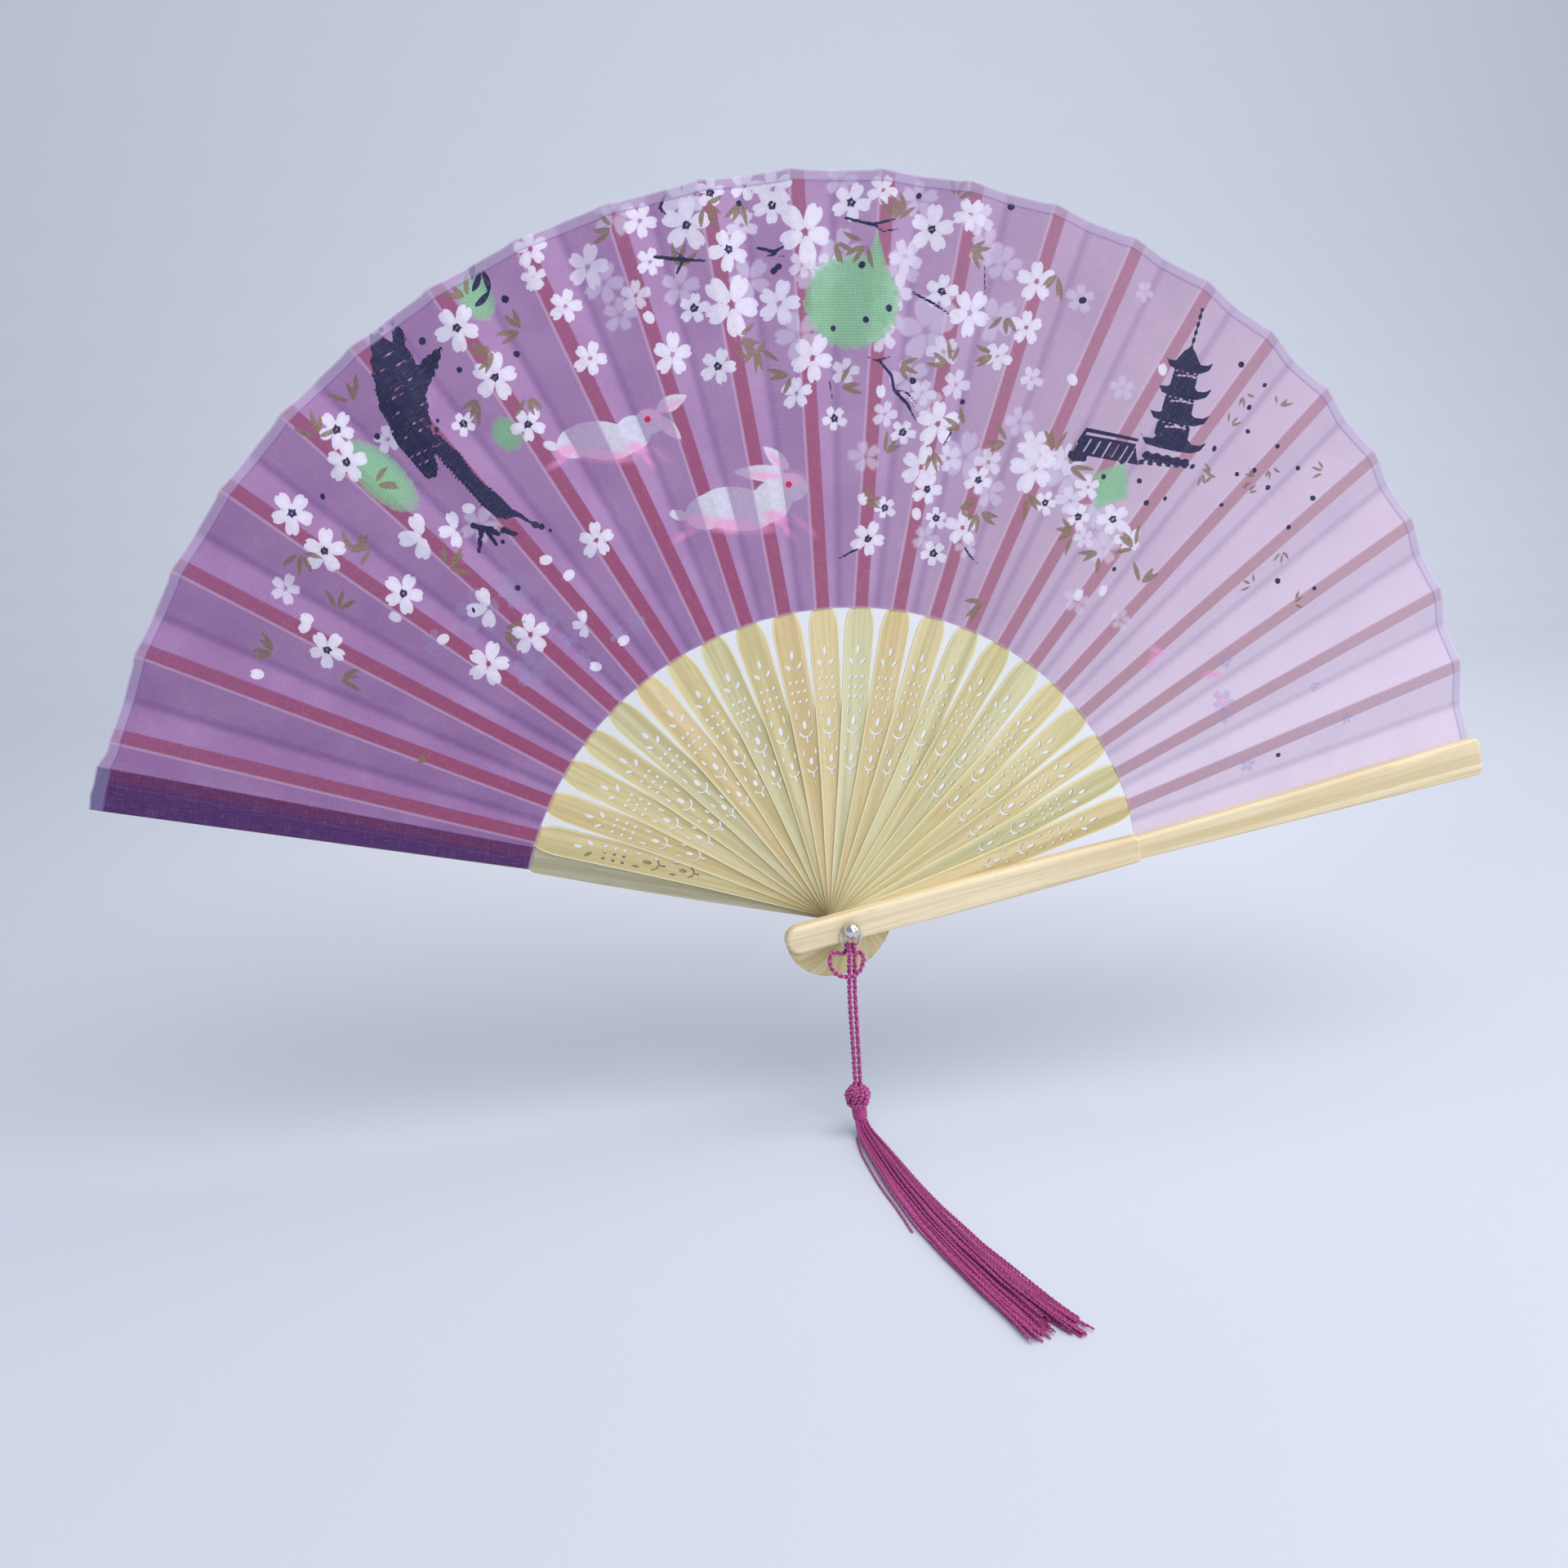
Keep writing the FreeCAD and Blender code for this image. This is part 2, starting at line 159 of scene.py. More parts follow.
def plies(p, s, count, a, pitch, phase=0.0):
    t, n, b = frames_of(p)
    out = []
    for k in range(count):
        ph = (s / pitch * 2 * np.pi + phase + 2 * np.pi * k / count)[:, None]
        out.append(p + a * (np.cos(ph) * n + np.sin(ph) * b))
    return out


# ------------------------------------------------------------------ cords
CORD_ROUTE = [
    (0.85, -5.9, -45.2), (0.45, -5.8, -38.0), (-0.25, -5.6, -28.0), (-0.80, -5.35, -18.0), (-0.80, -5.10, -12.0),
    (-0.75, -5.02, -8.2), (-0.75, -5.02, -4.43), (-0.75, -2.22, -4.43), (-0.75, -2.22, -7.6), (-3.3, -2.95, -7.2),
    (-5.0, -4.3, -5.7), (-6.3, -5.3, -7.2), (-6.3, -6.0, -9.4), (-4.7, -6.6, -11.6), (-2.2, -6.95, -12.5),
    (0.4, -6.95, -12.2), (2.3, -6.5, -10.6), (3.2, -5.5, -8.4), (3.2, -3.6, -7.1), (0.75, -2.22, -7.6),
    (0.75, -2.22, -4.43), (0.75, -5.02, -4.43), (0.75, -5.02, -8.2), (0.65, -5.15, -12.2), (0.70, -5.45, -18.0),
    (1.25, -5.75, -28.0), (1.85, -5.95, -38.0), (2.20, -6.0, -45.2),
]
line = spline_points("cord_route", CORD_ROUTE)
path, s = resample(line, 0.00016)
cord = tubes("tassel_cord_twisted", plies(path, s, 2, 0.00031, 0.0030), [0.00035, 0.00035], 8, [0.35, 0.65])
cord_len = float(s[-1])
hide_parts("tassel_cord")
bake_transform(cord)

THREAD = [(0.35, -9.6, -59.3), (-0.6, -16, -59.62), (-0.6, -24, -59.62), (-0.2, -36, -59.62), (1.1, -46, -59.62), (1.6, -56, -59.62)]
line = spline_points("thread_route", THREAD)
tpath, ts = resample(line, 0.0002)
thread = tubes("tassel_stray_thread", plies(tpath, ts, 2, 0.00016, 0.0019), [0.00018, 0.00018], 6, [0.3, 0.7])
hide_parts("tassel_thread")
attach(thread, "front_guard")

# ------------------------------------------------------------------ material helpers
def srgb(r, g, b, k=1.0):
    f = lambda c: (c / 255 / 12.92) if c / 255 <= 0.04045 else ((c / 255 + 0.055) / 1.055) ** 2.4
    return (f(r) * k, f(g) * k, f(b) * k, 1.0)


class Nodes:
    def __init__(self, name):
        self.mat = bpy.data.materials.new(name)
        self.mat.use_nodes = True
        self.t = self.mat.node_tree
        self.t.nodes.clear()
        self.out = self.t.nodes.new("ShaderNodeOutputMaterial")
        self.b = self.t.nodes.new("ShaderNodeBsdfPrincipled")
        self.t.links.new(self.b.outputs[0], self.out.inputs[0])

    def put(self, sock, v):
        if isinstance(v, bpy.types.NodeSocket):
            self.t.links.new(v, sock)
        else:
            sock.default_value = v

    def attr(self, name):
        n = self.t.nodes.new("ShaderNodeAttribute")
        n.attribute_name = name
        return n.outputs["Fac"]

    def math(self, op, a, b=0.0, c=0.0, clamp=False):
        n = self.t.nodes.new("ShaderNodeMath")
        n.operation = op
        n.use_clamp = clamp
        for i, v in enumerate((a, b, c)):
            self.put(n.inputs[i], v)
        return n.outputs[0]

    def step(self, v, a, b, lo=0.0, hi=1.0, smooth=True):
        n = self.t.nodes.new("ShaderNodeMapRange")
        n.interpolation_type = "SMOOTHSTEP" if smooth else "LINEAR"
        n.clamp = True
        self.put(n.inputs["Value"], v)
        n.inputs["From Min"].default_value = a
        n.inputs["From Max"].default_value = b
        n.inputs["To Min"].default_value = lo
        n.inputs["To Max"].default_value = hi
        return n.outputs[0]

    def mix(self, f, a, b, kind="MIX"):
        n = self.t.nodes.new("ShaderNodeMix")
        n.data_type = "RGBA"
        n.blend_type = kind
        self.put(n.inputs[0], f)
        self.put(n.inputs[6], a)
        self.put(n.inputs[7], b)
        return n.outputs[2]

    def ramp(self, f, stops):
        n = self.t.nodes.new("ShaderNodeValToRGB")
        e = n.color_ramp.elements
        while len(e) < len(stops):
            e.new(0.5)
        for x, (p, c) in zip(e, stops):
            x.position = p
            x.color = c
        self.put(n.inputs[0], f)
        return n.outputs[0]

    def coord(self, kind="Object", scale=(1, 1, 1), rot=(0, 0, 0), loc=(0, 0, 0)):
        n = self.t.nodes.new("ShaderNodeTexCoord")
        mp = self.t.nodes.new("ShaderNodeMapping")
        r = self.t.nodes.new("ShaderNodeMapping")
        r.inputs["Rotation"].default_value = rot
        self.t.links.new(n.outputs[kind], r.inputs[0])
        self.t.links.new(r.outputs[0], mp.inputs[0])
        mp.inputs["Scale"].default_value = scale
        mp.inputs["Location"].default_value = loc
        return mp.outputs[0]

    def uv(self, name, scale=(1, 1, 1)):
        n = self.t.nodes.new("ShaderNodeUVMap")
        n.uv_map = name
        mp = self.t.nodes.new("ShaderNodeMapping")
        mp.inputs["Scale"].default_value = scale
        self.t.links.new(n.outputs[0], mp.inputs[0])
        return mp.outputs[0]

    def noise(self, vec, scale=1.0, detail=2.0, rough=0.5):
        n = self.t.nodes.new("ShaderNodeTexNoise")
        self.put(n.inputs["Vector"], vec)
        n.inputs["Scale"].default_value = scale
        n.inputs["Detail"].default_value = detail
        n.inputs["Roughness"].default_value = rough
        return n.outputs["Fac"]

    def bump(self, h, dist, strength=1.0):
        n = self.t.nodes.new("ShaderNodeBump")
        n.inputs["Strength"].default_value = strength
        n.inputs["Distance"].default_value = dist
        self.put(n.inputs["Height"], h)
        self.t.links.new(n.outputs[0], self.b.inputs["Normal"])
        return n


def give(o, mat):
    o.data.materials.clear()
    o.data.materials.append(mat)


# ------------------------------------------------------------------ bamboo
PITCH, STICK_22, N = 6.779, 18.815, 22
FRONT_DIR, BACK_DIR = 10.3, 165.4


def direction(k):
    return STICK_22 + (N - k) * PITCH


def bamboo(name, angle, tint, seed, guard=False):
    n = Nodes(name)
    rot = (0.0, math.radians(angle), 0.0)  # the grain runs along the stick
    off = (seed * 3.1, seed * 1.7, seed * 2.3)
    broad = n.noise(n.coord(scale=(9, 420, 420), rot=rot, loc=off), 1.0, 3.0, 0.55)
    fine = n.noise(n.coord(scale=(28, 2600, 2600), rot=rot, loc=off), 1.0, 3.0, 0.6)
    fleck = n.noise(n.coord(scale=(170, 5200, 5200), rot=rot, loc=off), 1.0, 1.0, 0.5)
    cloud = n.noise(n.coord(scale=(35, 90, 90), rot=rot, loc=off), 1.0, 2.0, 0.5)
    r, g, b = tint
    light = srgb(min(255, r * 1.05), min(255, g * 1.05), min(255, b * 1.06))
    dark = srgb(r * 0.93, g * 0.92, b * 0.86)
    warm = srgb(r * 0.98, g * 0.93, b * 0.85)
    col = n.mix(n.step(broad, 0.35, 0.68), light, dark)
    col = n.mix(n.step(cloud, 0.45, 0.75, 0.0, 0.40), col, warm)
    col = n.mix(n.step(fine, 0.47, 0.70, 0.0, 0.30 if guard else 0.20), col, srgb(r * 0.76, g * 0.72, b * 0.62))
    col = n.mix(n.step(fleck, 0.62, 0.74, 0.0, 0.26), col, srgb(r * 0.60, g * 0.52, b * 0.40))
    if not guard:  # painted highlight: the edges of each stick's face drawn a little paler
        sp = n.t.nodes.new("ShaderNodeSeparateXYZ")
        n.put(sp.inputs[0], n.coord(scale=(1000, 1000, 1000), rot=rot))
        wide = n.ramp(n.math("DIVIDE", sp.outputs[0], 200.0), [(0.0, (0.35, 0.35, 0.35, 1)), (0.20, (0.325, 0.325, 0.325, 1)), (0.30, (0.35, 0.35, 0.35, 1)), (0.38, (0.385, 0.385, 0.385, 1)), (0.4, (0.388, 0.388, 0.388, 1)), (0.4125, (0.355, 0.355, 0.355, 1)), (0.4245, (0.275, 0.275, 0.275, 1)), (0.44, (0.19, 0.19, 0.19, 1))])
        rim = n.math("SUBTRACT", n.math("MULTIPLY", wide, 10.0), n.math("ABSOLUTE", sp.outputs[2]))
        col = n.mix(n.math("MULTIPLY", n.step(rim, 0.50, 0.16, 0.0, 0.70), n.step(sp.outputs[0], 3.0, 14.0)), col, srgb(236, 228, 184))
    n.put(n.b.inputs["Base Color"], col)
    n.put(n.b.inputs["Roughness"], n.step(fine, 0.3, 0.7, 0.46, 0.62))
    n.b.inputs["Specular IOR Level"].default_value = 0.42
    n.b.inputs["Coat Weight"].default_value = 0.06
    n.b.inputs["Coat Roughness"].default_value = 0.35
    n.bump(n.math("ADD", fine, n.math("MULTIPLY", broad, 0.8)), 0.00006, 0.55)
    return n.mat


TINTS = [
    (208, 194, 148), (212, 193, 146), (207, 195, 148), (208, 196, 152), (203, 196, 156), (214, 194, 148), (210, 195, 148),
    (204, 196, 154), (208, 195, 150), (213, 191, 146), (210, 193, 146), (205, 200, 160), (214, 195, 148), (211, 198, 154),
    (206, 199, 156), (210, 197, 150), (203, 198, 156), (209, 195, 148), (207, 197, 150), (211, 196, 150), (204, 198, 154),
    (210, 192, 146),
]
for k in range(1, N + 1):
    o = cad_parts["stick_%02d" % k]
    give(o, bamboo("bamboo_stick_%02d" % k, direction(k), TINTS[k - 1], k))
give(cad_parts["front_guard"], bamboo("bamboo_front_guard", FRONT_DIR, (226, 209, 174), 31, True))
# painted shade: the back guard's bamboo is tinted darker and greyer than the front guard's
give(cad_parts["back_guard"], bamboo("bamboo_back_guard", BACK_DIR, (172, 167, 142), 37, True))

# ------------------------------------------------------------------ metal
def metal(name, col, rough, scratch):
    n = Nodes(name)
    f = n.noise(n.coord(scale=(900, 900, 2600)), 1.0, 3.0, 0.6)
    c = n.noise(n.coord(scale=(260, 260, 260)), 1.0, 2.0, 0.5)
    n.put(n.b.inputs["Base Color"], n.mix(n.step(c, 0.4, 0.75, 0.0, 0.5), srgb(*col), srgb(col[0] * 0.78, col[1] * 0.76, col[2] * 0.74)))
    n.b.inputs["Metallic"].default_value = 1.0
    n.put(n.b.inputs["Roughness"], n.step(f, 0.3, 0.75, rough, rough + 0.16))
    n.bump(f, 0.00003, scratch)
    return n.mat


give(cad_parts["rivet_pin"], metal("steel_pin", (205, 203, 200), 0.22, 0.4))
give(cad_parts["rivet_head"], metal("polished_rivet", (222, 222, 222), 0.10, 0.2))
give(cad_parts["bail_ring"], metal("polished_wire", (214, 214, 216), 0.14, 0.2))

# ------------------------------------------------------------------ silk
def silk(name, twist, twist_shade):
    n = Nodes(name)
    t = n.attr("tint")
    s = n.attr("along")
    wave = n.math("SINE", n.math("MULTIPLY", s, twist))
    fine = n.noise(n.coord(scale=(2600, 2600, 2600)), 1.0, 2.0, 0.6)
    col = n.ramp(t, [(0.0, srgb(100, 16, 70)), (0.40, srgb(160, 40, 116)), (0.72, srgb(190, 66, 140)), (1.0, srgb(222, 122, 180))])
    # painted highlight on the crest of each twist and painted shade in its groove
    col = n.mix(n.step(wave, -0.2, 1.0, 0.0, 0.38 * twist_shade), col, srgb(224, 124, 190))
    col = n.mix(n.step(wave, -0.4, -1.0, 0.0, 0.50 * twist_shade), col, srgb(84, 10, 62))
    col = n.mix(n.step(fine, 0.55, 0.8, 0.0, 0.3), col, srgb(236, 160, 206))
    n.put(n.b.inputs["Base Color"], col)
    n.b.inputs["Roughness"].default_value = 0.42
    n.b.inputs["Specular IOR Level"].default_value = 0.5
    n.b.inputs["Sheen Weight"].default_value = 0.35
    n.b.inputs["Sheen Roughness"].default_value = 0.4
    n.b.inputs["Sheen Tint"].default_value = (1.0, 0.60, 0.92, 1.0)
    n.bump(n.math("ADD", wave, fine), 0.00006, 0.6)
    return n.mat


SILK_CORD = silk("silk_cord", 5.2, 1.0)
SILK_SKIRT = silk("silk_thread", 7.4, 0.35)
give(cord, SILK_CORD)
give(thread, SILK_SKIRT)

# the knot: cords laid side by side over a ball, with one turn round its foot
kc = np.array([1.55, -6.0, -48.4]) * MM
ka = np.array([3.5, 3.1, 3.2]) * MM
lines, radii, tints = [], [], []
u = np.linspace(-1.38, 1.38, 26)
for i in range(16):
    lon = 2 * np.pi * i / 16 + 0.13 * math.sin(i * 2.1)
    swirl = 0.34 + 0.10 * math.sin(i * 1.7)
    ph = lon + swirl * np.sin(u * 1.1)
    f = 0.895 + 0.035 * math.sin(i * 2.9) + 0.02 * np.cos(u * 3 + i)
    base = np.stack([np.cos(u) * np.cos(ph) * ka[0] * f, np.cos(u) * np.sin(ph) * ka[1] * f, np.sin(u) * ka[2] * f], 1) + kc
    q, qs = resample(base, 0.00022)
    for j, pl in enumerate(plies(q, qs, 2, 0.00026, 0.0026, i)):
        lines.append(pl)
        radii.append(0.00030)
        tints.append(0.30 + 0.45 * ((i * 0.37 + j * 0.2) % 1.0))
for i in range(2):  # the turn that holds it
    a = np.linspace(0, 2 * np.pi, 60)
    zz = -0.0021 - i * 0.0006
    rr = 0.80 - i * 0.12
    base = np.stack([np.cos(a) * ka[0] * rr, np.sin(a) * ka[1] * rr, np.full(60, zz)], 1) + kc
    q, qs = resample(base, 0.00022)
    for j, pl in enumerate(plies(q, qs, 2, 0.00024, 0.0024, i)):
        lines.append(pl)
        radii.append(0.00028)
        tints.append(0.42 + 0.2 * j)
a = np.linspace(0, np.pi, 14)
core = np.stack([np.zeros(14), np.zeros(14), -np.cos(a) * ka[2] * 0.86], 1) + kc
lines.append(core)
radii.append(np.maximum(np.sin(a) * 0.0027, 0.0002))
tints.append(0.25)
knot = tubes("tassel_knot_wound", lines, radii, 7, tints)
give(knot, SILK_CORD)
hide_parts("tassel_knot")
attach(knot, "front_guard")

# the neck: a thread wound round the gathered threads
n0, n1 = np.array([1.72, -6.03, -51.2]) * MM, np.array([2.25, -6.4, -55.3]) * MM
turns = 8
a = np.linspace(0, 2 * np.pi * turns, turns * 22)
f = a / a[-1]
axis = (n1 - n0) / np.linalg.norm(n1 - n0)
e1 = np.cross(axis, [0, 1, 0]); e1 /= np.linalg.norm(e1)
e2 = np.cross(axis, e1)
rad = (1.72 + 0.10 * np.sin(f * 3.1)) * MM
coil = n0 + f[:, None] * (n1 - n0) + rad[:, None] * (np.cos(a)[:, None] * e1 + np.sin(a)[:, None] * e2)
corez = np.linspace(0, 1, 8)[:, None] * (n1 - n0) + n0
neck = tubes("tassel_neck_wound", [coil, corez], [0.00029, 0.0016], 9, [0.55, 0.2])
give(neck, SILK_SKIRT)
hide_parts("tassel_neck")
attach(neck, "front_guard")

# the skirt: two-ply threads that leave the neck together, bend on the table and spread
SEC = np.array([
    (2.20, -6.30, -54.6, 1.35, 1.30), (2.35, -6.62, -55.9, 1.55, 1.40), (2.50, -7.25, -57.0, 1.8, 1.35), (2.70, -8.5, -57.85, 2.1, 1.30),
    (2.95, -10.6, -58.25, 2.4, 1.28), (3.30, -14, -58.42, 2.8, 1.22), (4.0, -22, -58.52, 3.4, 1.15), (5.3, -36, -58.62, 4.1, 1.05),
    (7.4, -52, -58.70, 4.7, 0.98), (10.6, -68, -58.78, 5.2, 0.90), (14.8, -83, -58.85, 5.6, 0.82), (20, -98.5, -58.92, 6.2, 0.74), (22.2, -104.5, -58.95, 6.7, 0.70),
])
cen = SEC[:, :3]
sd = np.r_[0, np.cumsum(np.linalg.norm(np.diff(cen, axis=0), axis=1))]
FLOOR = -60.0
lines, radii, tints = [], [], []
count = 66
for i in range(count):
    r = math.sqrt((i + 0.5) / count)
    a = i * 2.399963 + 0.3 * math.sin(i)
    p0, q0 = r * math.cos(a), r * math.sin(a)
    group = 0.0 if p0 > -0.18 else -1.0
    end = sd[-1] * (0.925 + 0.055 * rng.random()) - (2.0 if abs(p0 + 0.1) < 0.2 else 0.0) + (3.5 if group < 0 else 0.0) * rng.random()
    end = min(end, sd[-1])
    ss = np.linspace(0, end, 96)
    c = np.stack([np.interp(ss, sd, SEC[:, j]) for j in range(5)], 1)
    # smooth the centre line
    for _ in range(3):
        c[1:-1] = 0.25 * c[:-2] + 0.5 * c[1:-1] + 0.25 * c[2:]
    f = ss / sd[-1]
    t = np.gradient(c[:, :3], axis=0)
    t /= np.linalg.norm(t, axis=1)[:, None]
    side = np.cross(t, [0, 0, 1.0])
    weak = np.linalg.norm(side, axis=1) < 0.35
    side[weak] = [-1.0, 0, 0]
    side /= np.linalg.norm(side, axis=1)[:, None]
    nor = np.cross(side, t)
    ph1, ph2 = rng.random() * 6.28, rng.random() * 6.28
    wob = 0.10 * np.sin(f * (5 + 4 * rng.random()) + ph1) * f ** 0.5 + 0.03 * np.sin(f * 25 + ph2) * f
    pp = p0 * (1 + 0.10 * (f > 0) * f) + wob - 0.16 * f ** 3 * (1 if group < 0 else 0) + 0.06 * f ** 3 * (0 if group < 0 else 1)
    qq = q0 + 0.12 * np.sin(f * 7 + ph2)
    P = c[:, :3] - side * (pp * c[:, 3])[:, None] * -1.0 + nor * (qq * c[:, 4])[:, None]
    P[:, 2] = np.maximum(P[:, 2], FLOOR + 0.42)
    q, qs = resample(P * MM, 0.00085)
    two = plies(q, qs, 2, 0.00017, 0.0026, ph1)
    tint = float(np.clip(0.5 + 0.22 * rng.standard_normal(), 0.1, 0.98))
    for j, pl in enumerate(two):
        rr = np.full(len(pl), 0.00021)
        rr[-2:] *= 0.8
        lines.append(pl)
        radii.append(rr)
        tints.append(float(np.clip(tint + 0.08 * (j - 0.5), 0, 1)))
skirt = tubes("tassel_skirt_threads", lines, radii, 5, tints)
give(skirt, SILK_SKIRT)
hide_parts("tassel_skirt")
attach(skirt, "front_guard")

# ------------------------------------------------------------------ leaf: pleated printed cloth
R_IN, R_OUT, TH = 84.9, 190.0, 0.12
ROWS = 206
PUSH0 = 2.15


def level_y(k):
    if k == 0:
        return 13.34
    if k == N + 1:
        return 0.09
    return 0.05 + (N - k) * 0.6 + 0.17


def theta(k):
    if k == 0:
        return BACK_DIR
    if k == N + 1:
        return FRONT_DIR
    return direction(k)


def at(s, R):
    """Place on the leaf, in mm, from stick units along it and the radius."""
    a = math.radians(STICK_22 + (N - s) * PITCH)
    return np.array([R * math.cos(a), R * math.sin(a)])


RAD = np.linspace(R_IN, R_OUT, ROWS)
FR = (RAD - R_IN) / (R_OUT - R_IN)


def grid(k):
    ta, tb = math.radians(theta(k)), math.radians(theta(k + 1))
    chord = 2 * RAD * math.sin((ta - tb) / 2)
    ya, yb = level_y(k), level_y(k + 1)
    rh_a = 0.15 if 1 <= k < N else 0.08
    rh_b = 0.15 if k + 1 < N else 0.08
    half = 3.1 + 2.5 * FR
    zero = 0 * RAD
    dep = 0.55 + 1.75 * FR
    jit = 0.10 * math.sin(k * 2.7)
    if k == 0:
        br = [(-half, zero + ya, 0), (half, zero + ya, 16), (chord - 1.85, zero + yb - rh_b, 8), (chord, zero + yb - rh_b / 2, 4)]
        valley = half + 0.4
        vi = 16
    elif k == N:
        valley = 4.9 + 6.9 * FR
        br = [(zero, zero + ya - rh_a / 2, 0), (zero + 1.85, zero + ya, 4), (valley, 0.6 * ya + 0.4 * yb + dep, 16), (chord - 3.3 - 2.4 * FR, zero + yb, 20), (chord, zero + yb, 9)]
        vi = 20
    else:
        valley = (4.3 + 5.0 * FR) * (1 + 0.04 * jit)
        w = valley / chord
        br = [(zero, zero + ya - rh_a / 2, 0), (zero + 1.85, zero + ya, 4), (valley, (1 - w) * ya + w * yb + dep * (1 + jit), 15), (chord - 1.85, zero + yb - rh_b, 20), (chord, zero + yb - rh_b / 2, 4)]
        vi = 19
    D, Y = [br[0][0]], [br[0][1]]
    for (d0, y0, _), (d1, y1, n) in zip(br[:-1], br[1:]):
        for j in range(1, n + 1):
            D.append(d0 + (d1 - d0) * j / n)
            Y.append(y0 + (y1 - y0) * j / n)
    D, Y = np.array(D), np.array(Y)  # columns by rows
    C = len(D)
    soft = Y.copy()
    for it in range(9):  # round the valley fold broadly
        nxt = soft.copy()
        nxt[1:-1] = 0.25 * soft[:-2] + 0.5 * soft[1:-1] + 0.25 * soft[2:]
        lo_, hi_ = max(1, vi - 7), min(C - 1, vi + 8)
        soft[lo_:hi_] = nxt[lo_:hi_]
        if it < 1:
            soft[1:-1] = nxt[1:-1]
    Y = soft
    # the cloth isn't drawn quite tight: long low waves that die out at the ribs
    f = np.clip(D / chord, 0, 1)
    damp = np.sin(np.pi * f) ** 2
    if k > 0:
        Y = Y + damp * 0.13 * np.sin(RAD / 11.0 + k * 1.9 + 3 * f) * (0.35 + 0.65 * FR)
        Y = Y + damp * 0.06 * np.sin(RAD / 4.6 - k * 2.3 + 5 * f)
    # the folded hem along the rim stands a little proud
    Y = Y - 0.07 * np.clip((RAD - 187.6) / 0.4, 0, 1)
    A = np.array([math.cos(ta), math.sin(ta)])
    B = np.array([math.cos(tb), math.sin(tb)])
    e = (B - A) / np.linalg.norm(B - A)
    X = RAD * A[0] + D * e[0]
    Z = RAD * A[1] + D * e[1]
    # the rim stands out a little at each fold over a rib
    ridge = np.exp(-(((D - (chord - 1.85)) / 1.6) ** 2)) + np.exp(-(((D + 1.85) / 1.6) ** 2))
    push = 0.35 * ridge * np.clip((FR - 0.96) / 0.04, 0, 1)
    if k == 0:  # the cloth is folded round the back guard's tip
        t = np.clip((RAD - 184.0) / 6.0, 0, 1)
        far = np.clip((D - half) / (chord * 0.85 - half), 0, 1)
        push = push + PUSH0 * t * t * (3 - 2 * t) * (1 - far) ** 1.5
    mid = (A + B) / np.linalg.norm(A + B)
    if k == 0:
        mid = A
    X = X + push * mid[0]
    Z = Z + push * mid[1]
    step = np.sqrt(np.diff(X, axis=0) ** 2 + np.diff(Y, axis=0) ** 2 + np.diff(Z, axis=0) ** 2)
    U = np.vstack([0 * RAD, np.cumsum(step, 0)]) + k * 29.0
    across = np.minimum(np.abs(D), np.abs(D - chord))
    if k == 0:
        across = np.abs(D - chord)
    if k == N:
        across = np.abs(D)
    return dict(
        X=X, Y=Y, Z=Z, U=U, R=np.broadcast_to(RAD, X.shape).copy(), across=across, vdist=D - valley,
        rdist=np.minimum(np.abs(D - (chord - 1.85)) + (99 if k == N else 0), np.abs(D + 1.85)),
        s=k + np.clip(D / chord, -0.5, 1), guard=np.broadcast_to((half - D) if k == 0 else (zero - 9), X.shape).copy(),
    )


grids = [grid(k) for k in range(N + 1)]
GX = np.concatenate([g["X"].ravel() for g in grids])
GZ = np.concatenate([g["Z"].ravel() for g in grids])
LAY = {n: np.full(GX.shape, -9.0) for n in ("white", "soft", "soft2", "grey", "navy", "gold", "green", "hare", "pink", "red")}


def paint(layer, centre, reach, shape, ang=0.0):
    """Adds one printed shape: shape(x, y) is its depth inside the edge, in mm, with y outward along the leaf."""
    c = at(*centre) if isinstance(centre, tuple) else np.array(centre)
    sel = np.nonzero((np.abs(GX - c[0]) < reach) & (np.abs(GZ - c[1]) < reach))[0]
    if not len(sel):
        return
    base = math.atan2(c[1], c[0]) - math.pi / 2 + ang
    dx, dz = GX[sel] - c[0], GZ[sel] - c[1]
    x = dx * math.cos(base) + dz * math.sin(base)
    y = -dx * math.sin(base) + dz * math.cos(base)
    v = shape(x, y)
    LAY[layer][sel] = np.maximum(LAY[layer][sel], v)


def wobble(x, y, a=1.0, seed=0.0):
    return a * (np.sin(x * 1.9 + seed) * np.sin(y * 2.3 + seed * 1.7) * 0.6 + np.sin(x * 4.3 - seed) * np.sin(y * 3.7 + seed) * 0.4)


def petal5(r, n=5, skew=0.0, open_=1.0, keep=None):
    def f(x, y):
        a = np.arctan2(x, y) + skew
        rr = np.hypot(x, y)
        sec = 2 * np.pi / n
        i = np.floor(a / sec + 0.5)
        da = a - i * sec
        px, py = rr * np.cos(da), rr * np.sin(da)
        k = 1 + 0.07 * np.sin(i * 2.3 + r)
        q = np.sqrt(((px - 0.57 * r * k) / (0.46 * r * k)) ** 2 + (py / (0.325 * r * open_ * (0.55 + 0.62 * np.clip(px / r, 0, 1)))) ** 2 + 1e-9)
        v = (1 - q) * 0.27 * r
        notch = np.abs(py) * 1.5 - (px - 0.89 * r * k)
        v = np.minimum(v, notch)
        if keep is not None:
            v = np.where(np.isin(np.mod(i, n), keep), v, -9.0)
        return v
    return f


def disc(r, seed=0.0, rough=0.0):
    return lambda x, y: r - np.hypot(x, y) + (wobble(x, y, rough, seed) if rough else 0)


def ring(r, w):
    return lambda x, y: w - np.abs(np.hypot(x, y) - r)


